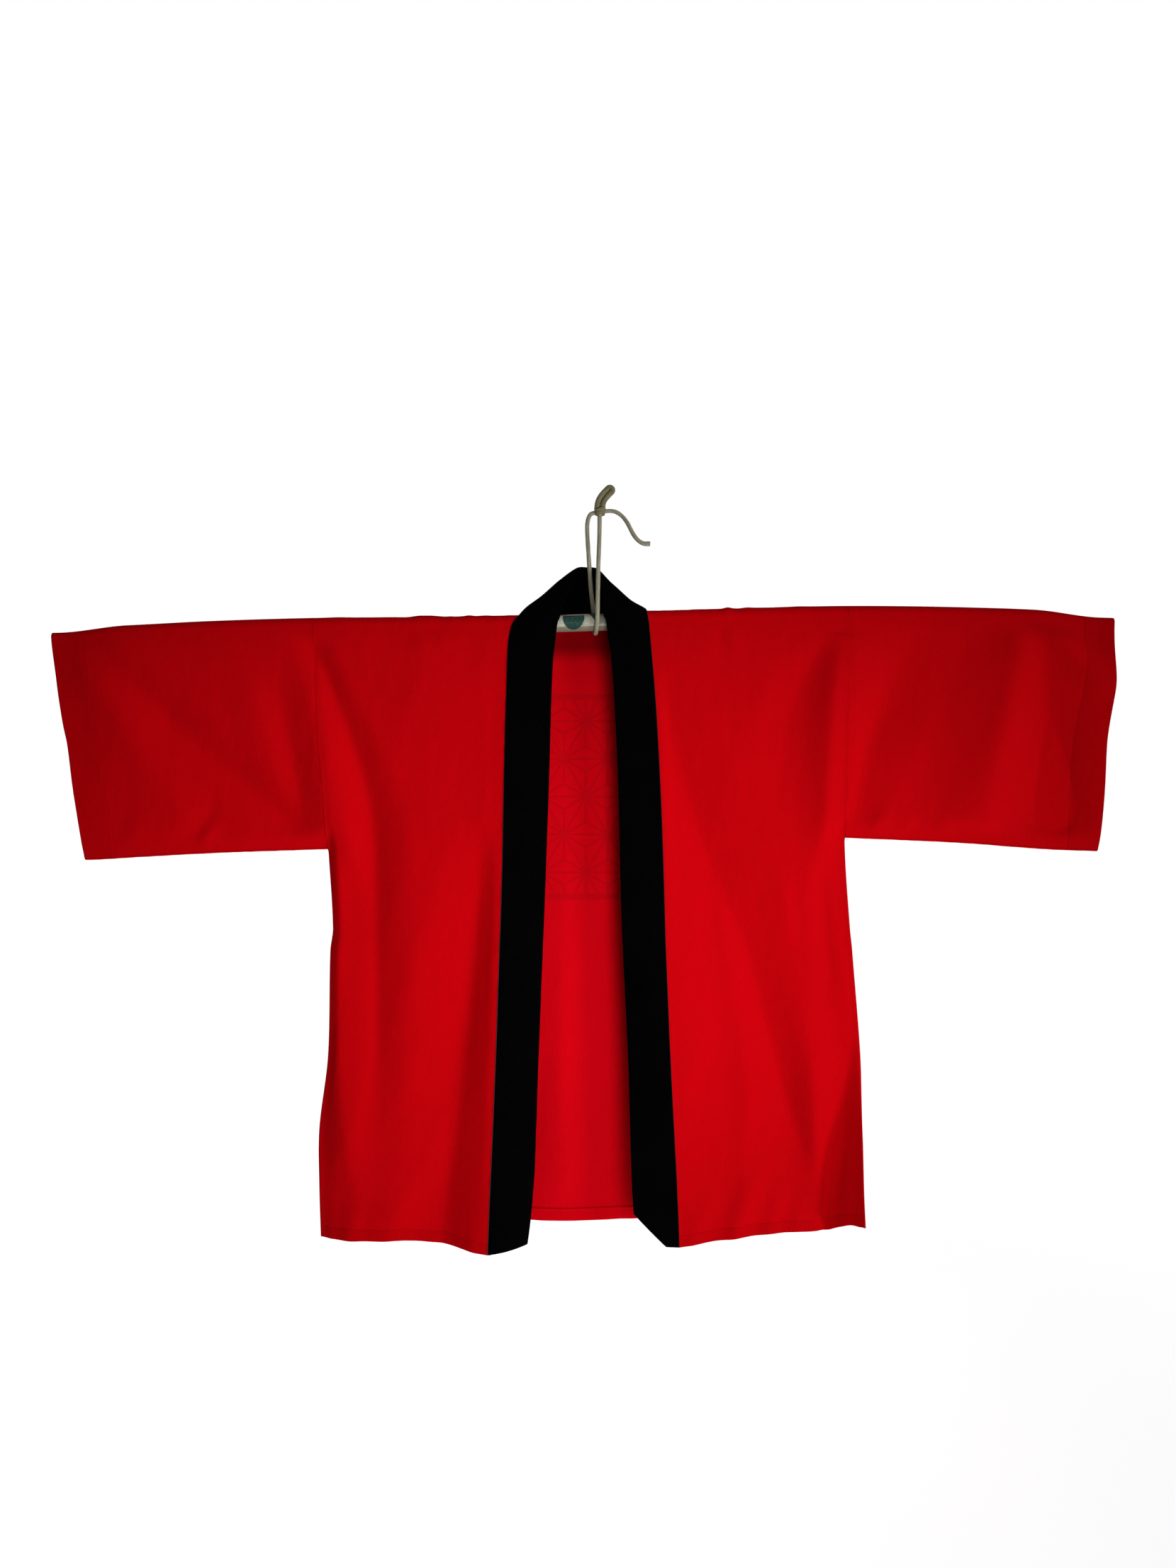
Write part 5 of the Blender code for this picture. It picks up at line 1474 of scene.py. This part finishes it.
lamps = {
    "key": {
        "kind": "SPOT", "at": (0.46, -1.42, -0.82), "towards": (-0.05, 0.0, -0.52), "watts": 64.0,
        "soft": 0.42, "cone": 56.0,
    },
    "side": {
        "kind": "SPOT", "at": (3.4, -1.95, -1.02), "towards": (0.12, 0.0, -0.44), "watts": 310.0,
        "soft": 0.65, "cone": 28.0,
    },
    "back": {
        "kind": "AREA", "at": (-0.9, 1.5, 0.25), "towards": (-0.03, 0.0, -0.5), "watts": 26.0, "soft": 1.0,
    },
    "top": {
        "kind": "AREA", "at": (0.0, -0.5, 1.5), "towards": (-0.03, 0.0, -0.3), "watts": 5.0, "soft": 1.4,
    },
}
studio = {"ambient": 0.085, "seen": 1.0}   # how bright the white all round is as light, and to the eye


def makeLamp(name, settings):
    lamp = bpy.data.lights.new(name, settings["kind"])
    lamp.energy = settings["watts"]
    if settings["kind"] == "SPOT":
        lamp.shadow_soft_size = settings["soft"]
        lamp.spot_size = math.radians(settings["cone"])
        lamp.spot_blend = 1.0
    else:
        lamp.shape = "DISK"
        lamp.size = settings["soft"]
    holder = bpy.data.objects.new(name, lamp)
    holder.location = settings["at"]
    holder.visible_camera = False
    aim = Vector(settings["towards"]) - Vector(settings["at"])
    holder.rotation_euler = aim.to_track_quat("-Z", "Y").to_euler()
    bpy.context.scene.collection.objects.link(holder)


def makeStudio():
    world = bpy.data.worlds.new("studio")
    world.use_nodes = True
    nodes = Nodes(world.node_tree)
    nodes.tree.nodes.clear()
    seen = nodes.node("ShaderNodeLightPath")
    dim, white = (nodes.node("ShaderNodeBackground", None, {"Color": (1, 1, 1, 1), "Strength": studio[name]})
                  for name in ("ambient", "seen"))
    both = nodes.node("ShaderNodeMixShader", None, {0: seen, 1: dim, 2: white})
    end = nodes.tree.nodes.new("ShaderNodeOutputWorld")
    nodes.give(end.inputs["Surface"], both)
    bpy.context.scene.world = world


floorLook = {"z": -1.4, "half": 2.0, "grey": 0.9, "glow": 0.66, "solid": 0.4, "gone": 1.8}


def makeFloor():
    # a pale floor that fades into the white all round it
    paint = Paint("paleFloor")
    x, y = paint.split(paint.node("ShaderNodeTexCoord", None, None, 3))[:2]
    away = (x * x + y * y).math("SQRT")
    grey = floorLook["grey"]
    paint.set(Base_Color=(grey, grey, grey, 1.0), Roughness=0.9, Emission_Color=(1.0, 1.0, 1.0, 1.0),
              Emission_Strength=floorLook["glow"],
              Alpha=1 - paint.step(away, floorLook["solid"], floorLook["gone"]))
    half = floorLook["half"]
    corners = [(right * half, back * half, floorLook["z"])
               for right, back in ((-1, -1), (1, -1), (1, 1), (-1, 1))]
    floor = bare("floor", corners, [(0, 1, 2, 3)], [paint.material], smooth=False)


# making everything

pieceNodes = {
    "back": "back", "frontRight": "front_right", "frontLeft": "front_left", "sleeveRight": "sleeve_right",
    "sleeveLeft": "sleeve_left", "collar": "collar", "sling": "cord_sling", "topLoop": "cord_top_loop",
    "tail": "cord_tail", "knot": "cord_knot", "rod": "hanging_rod",
}


def makeCloth():
    # the six cut pieces, and the stitches along their hems
    redCotton = cotton("redCotton", red)
    backFaces = [cotton("redCottonPrinted", red, printOutside),
                 cotton("redCottonInsidePaintedLightAndShade", redInsidePaintedLight, printAndShadeInside)]
    points, cut = backPoints()
    turned = turnedColumns
    pieces = {"back": makePanel("clothBack", points, cut, False, (turned + 1, turned + 1), backFaces)}
    row = hem["up"].index(hem["stitch"]) - len(hem["up"])
    ring = cuff["up"].index(cuff["stitch"]) - len(cuff["up"])
    runs = [(points[row, turned:-turned], outward(points, 1)[row, turned:-turned])]
    for side in (-1, 1):
        name = word(side)
        flip = side > 0
        points, cut = frontPoints(side)
        pieces["front" + name] = makePanel("clothFront" + name, points, cut, flip, (0, turned + 1),
                                           [redCotton])
        runs.append((points[row, 5:-turned], outward(points, -1 if flip else 1)[row, 5:-turned]))
        pieces["sleeve" + name], points, normals = makeSleeve(side, [redCotton])
        runs.append((points[ring], normals[ring]))
    pieces["collar"] = makeBand([bandCotton()])
    return pieces, stitches("hemStitches", runs, thread("redThread", rgb(176, 2, 18)))


def makeCords():
    # the four cords, and the path of each
    clean, worn = (cordCotton(name, look) for name, look in cordLooks.items())
    made = {
        "sling": braid("sling", slingRoute(), cord["wide"], clean),
        "topLoop": braid("topLoop", loopRoute(), cord["loopWide"], worn),
        "tail": braid("tail", tail, cord["wide"], clean, tailShape),
        "knot": braid("knot", knotRoute(), knot["wide"], worn),
    }
    pieces = {name: piece for name, (piece, path) in made.items()}
    paths = {name: path for name, (piece, path) in made.items()}
    return pieces, paths


def main():
    print("camera")
    makeCamera()
    print("cloth")
    pieces, sewn = makeCloth()
    print("cords and rod")
    cords, paths = makeCords()
    pieces.update(cords)
    wrapped = rodPaper()
    pieces["rod"] = makeRod([wrapped])
    pieces["paperEdge"] = makeFlap([wrapped])
    pieces["stitches"] = sewn
    print("light and stage")
    for name, settings in lamps.items():
        makeLamp(name + "Light", settings)
    makeStudio()
    makeFloor()
    for name, piece in pieces.items():
        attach(piece, "root")
    for name, node in pieceNodes.items():
        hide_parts(node)
    bpy.context.scene.view_settings.view_transform = "Standard"


main()
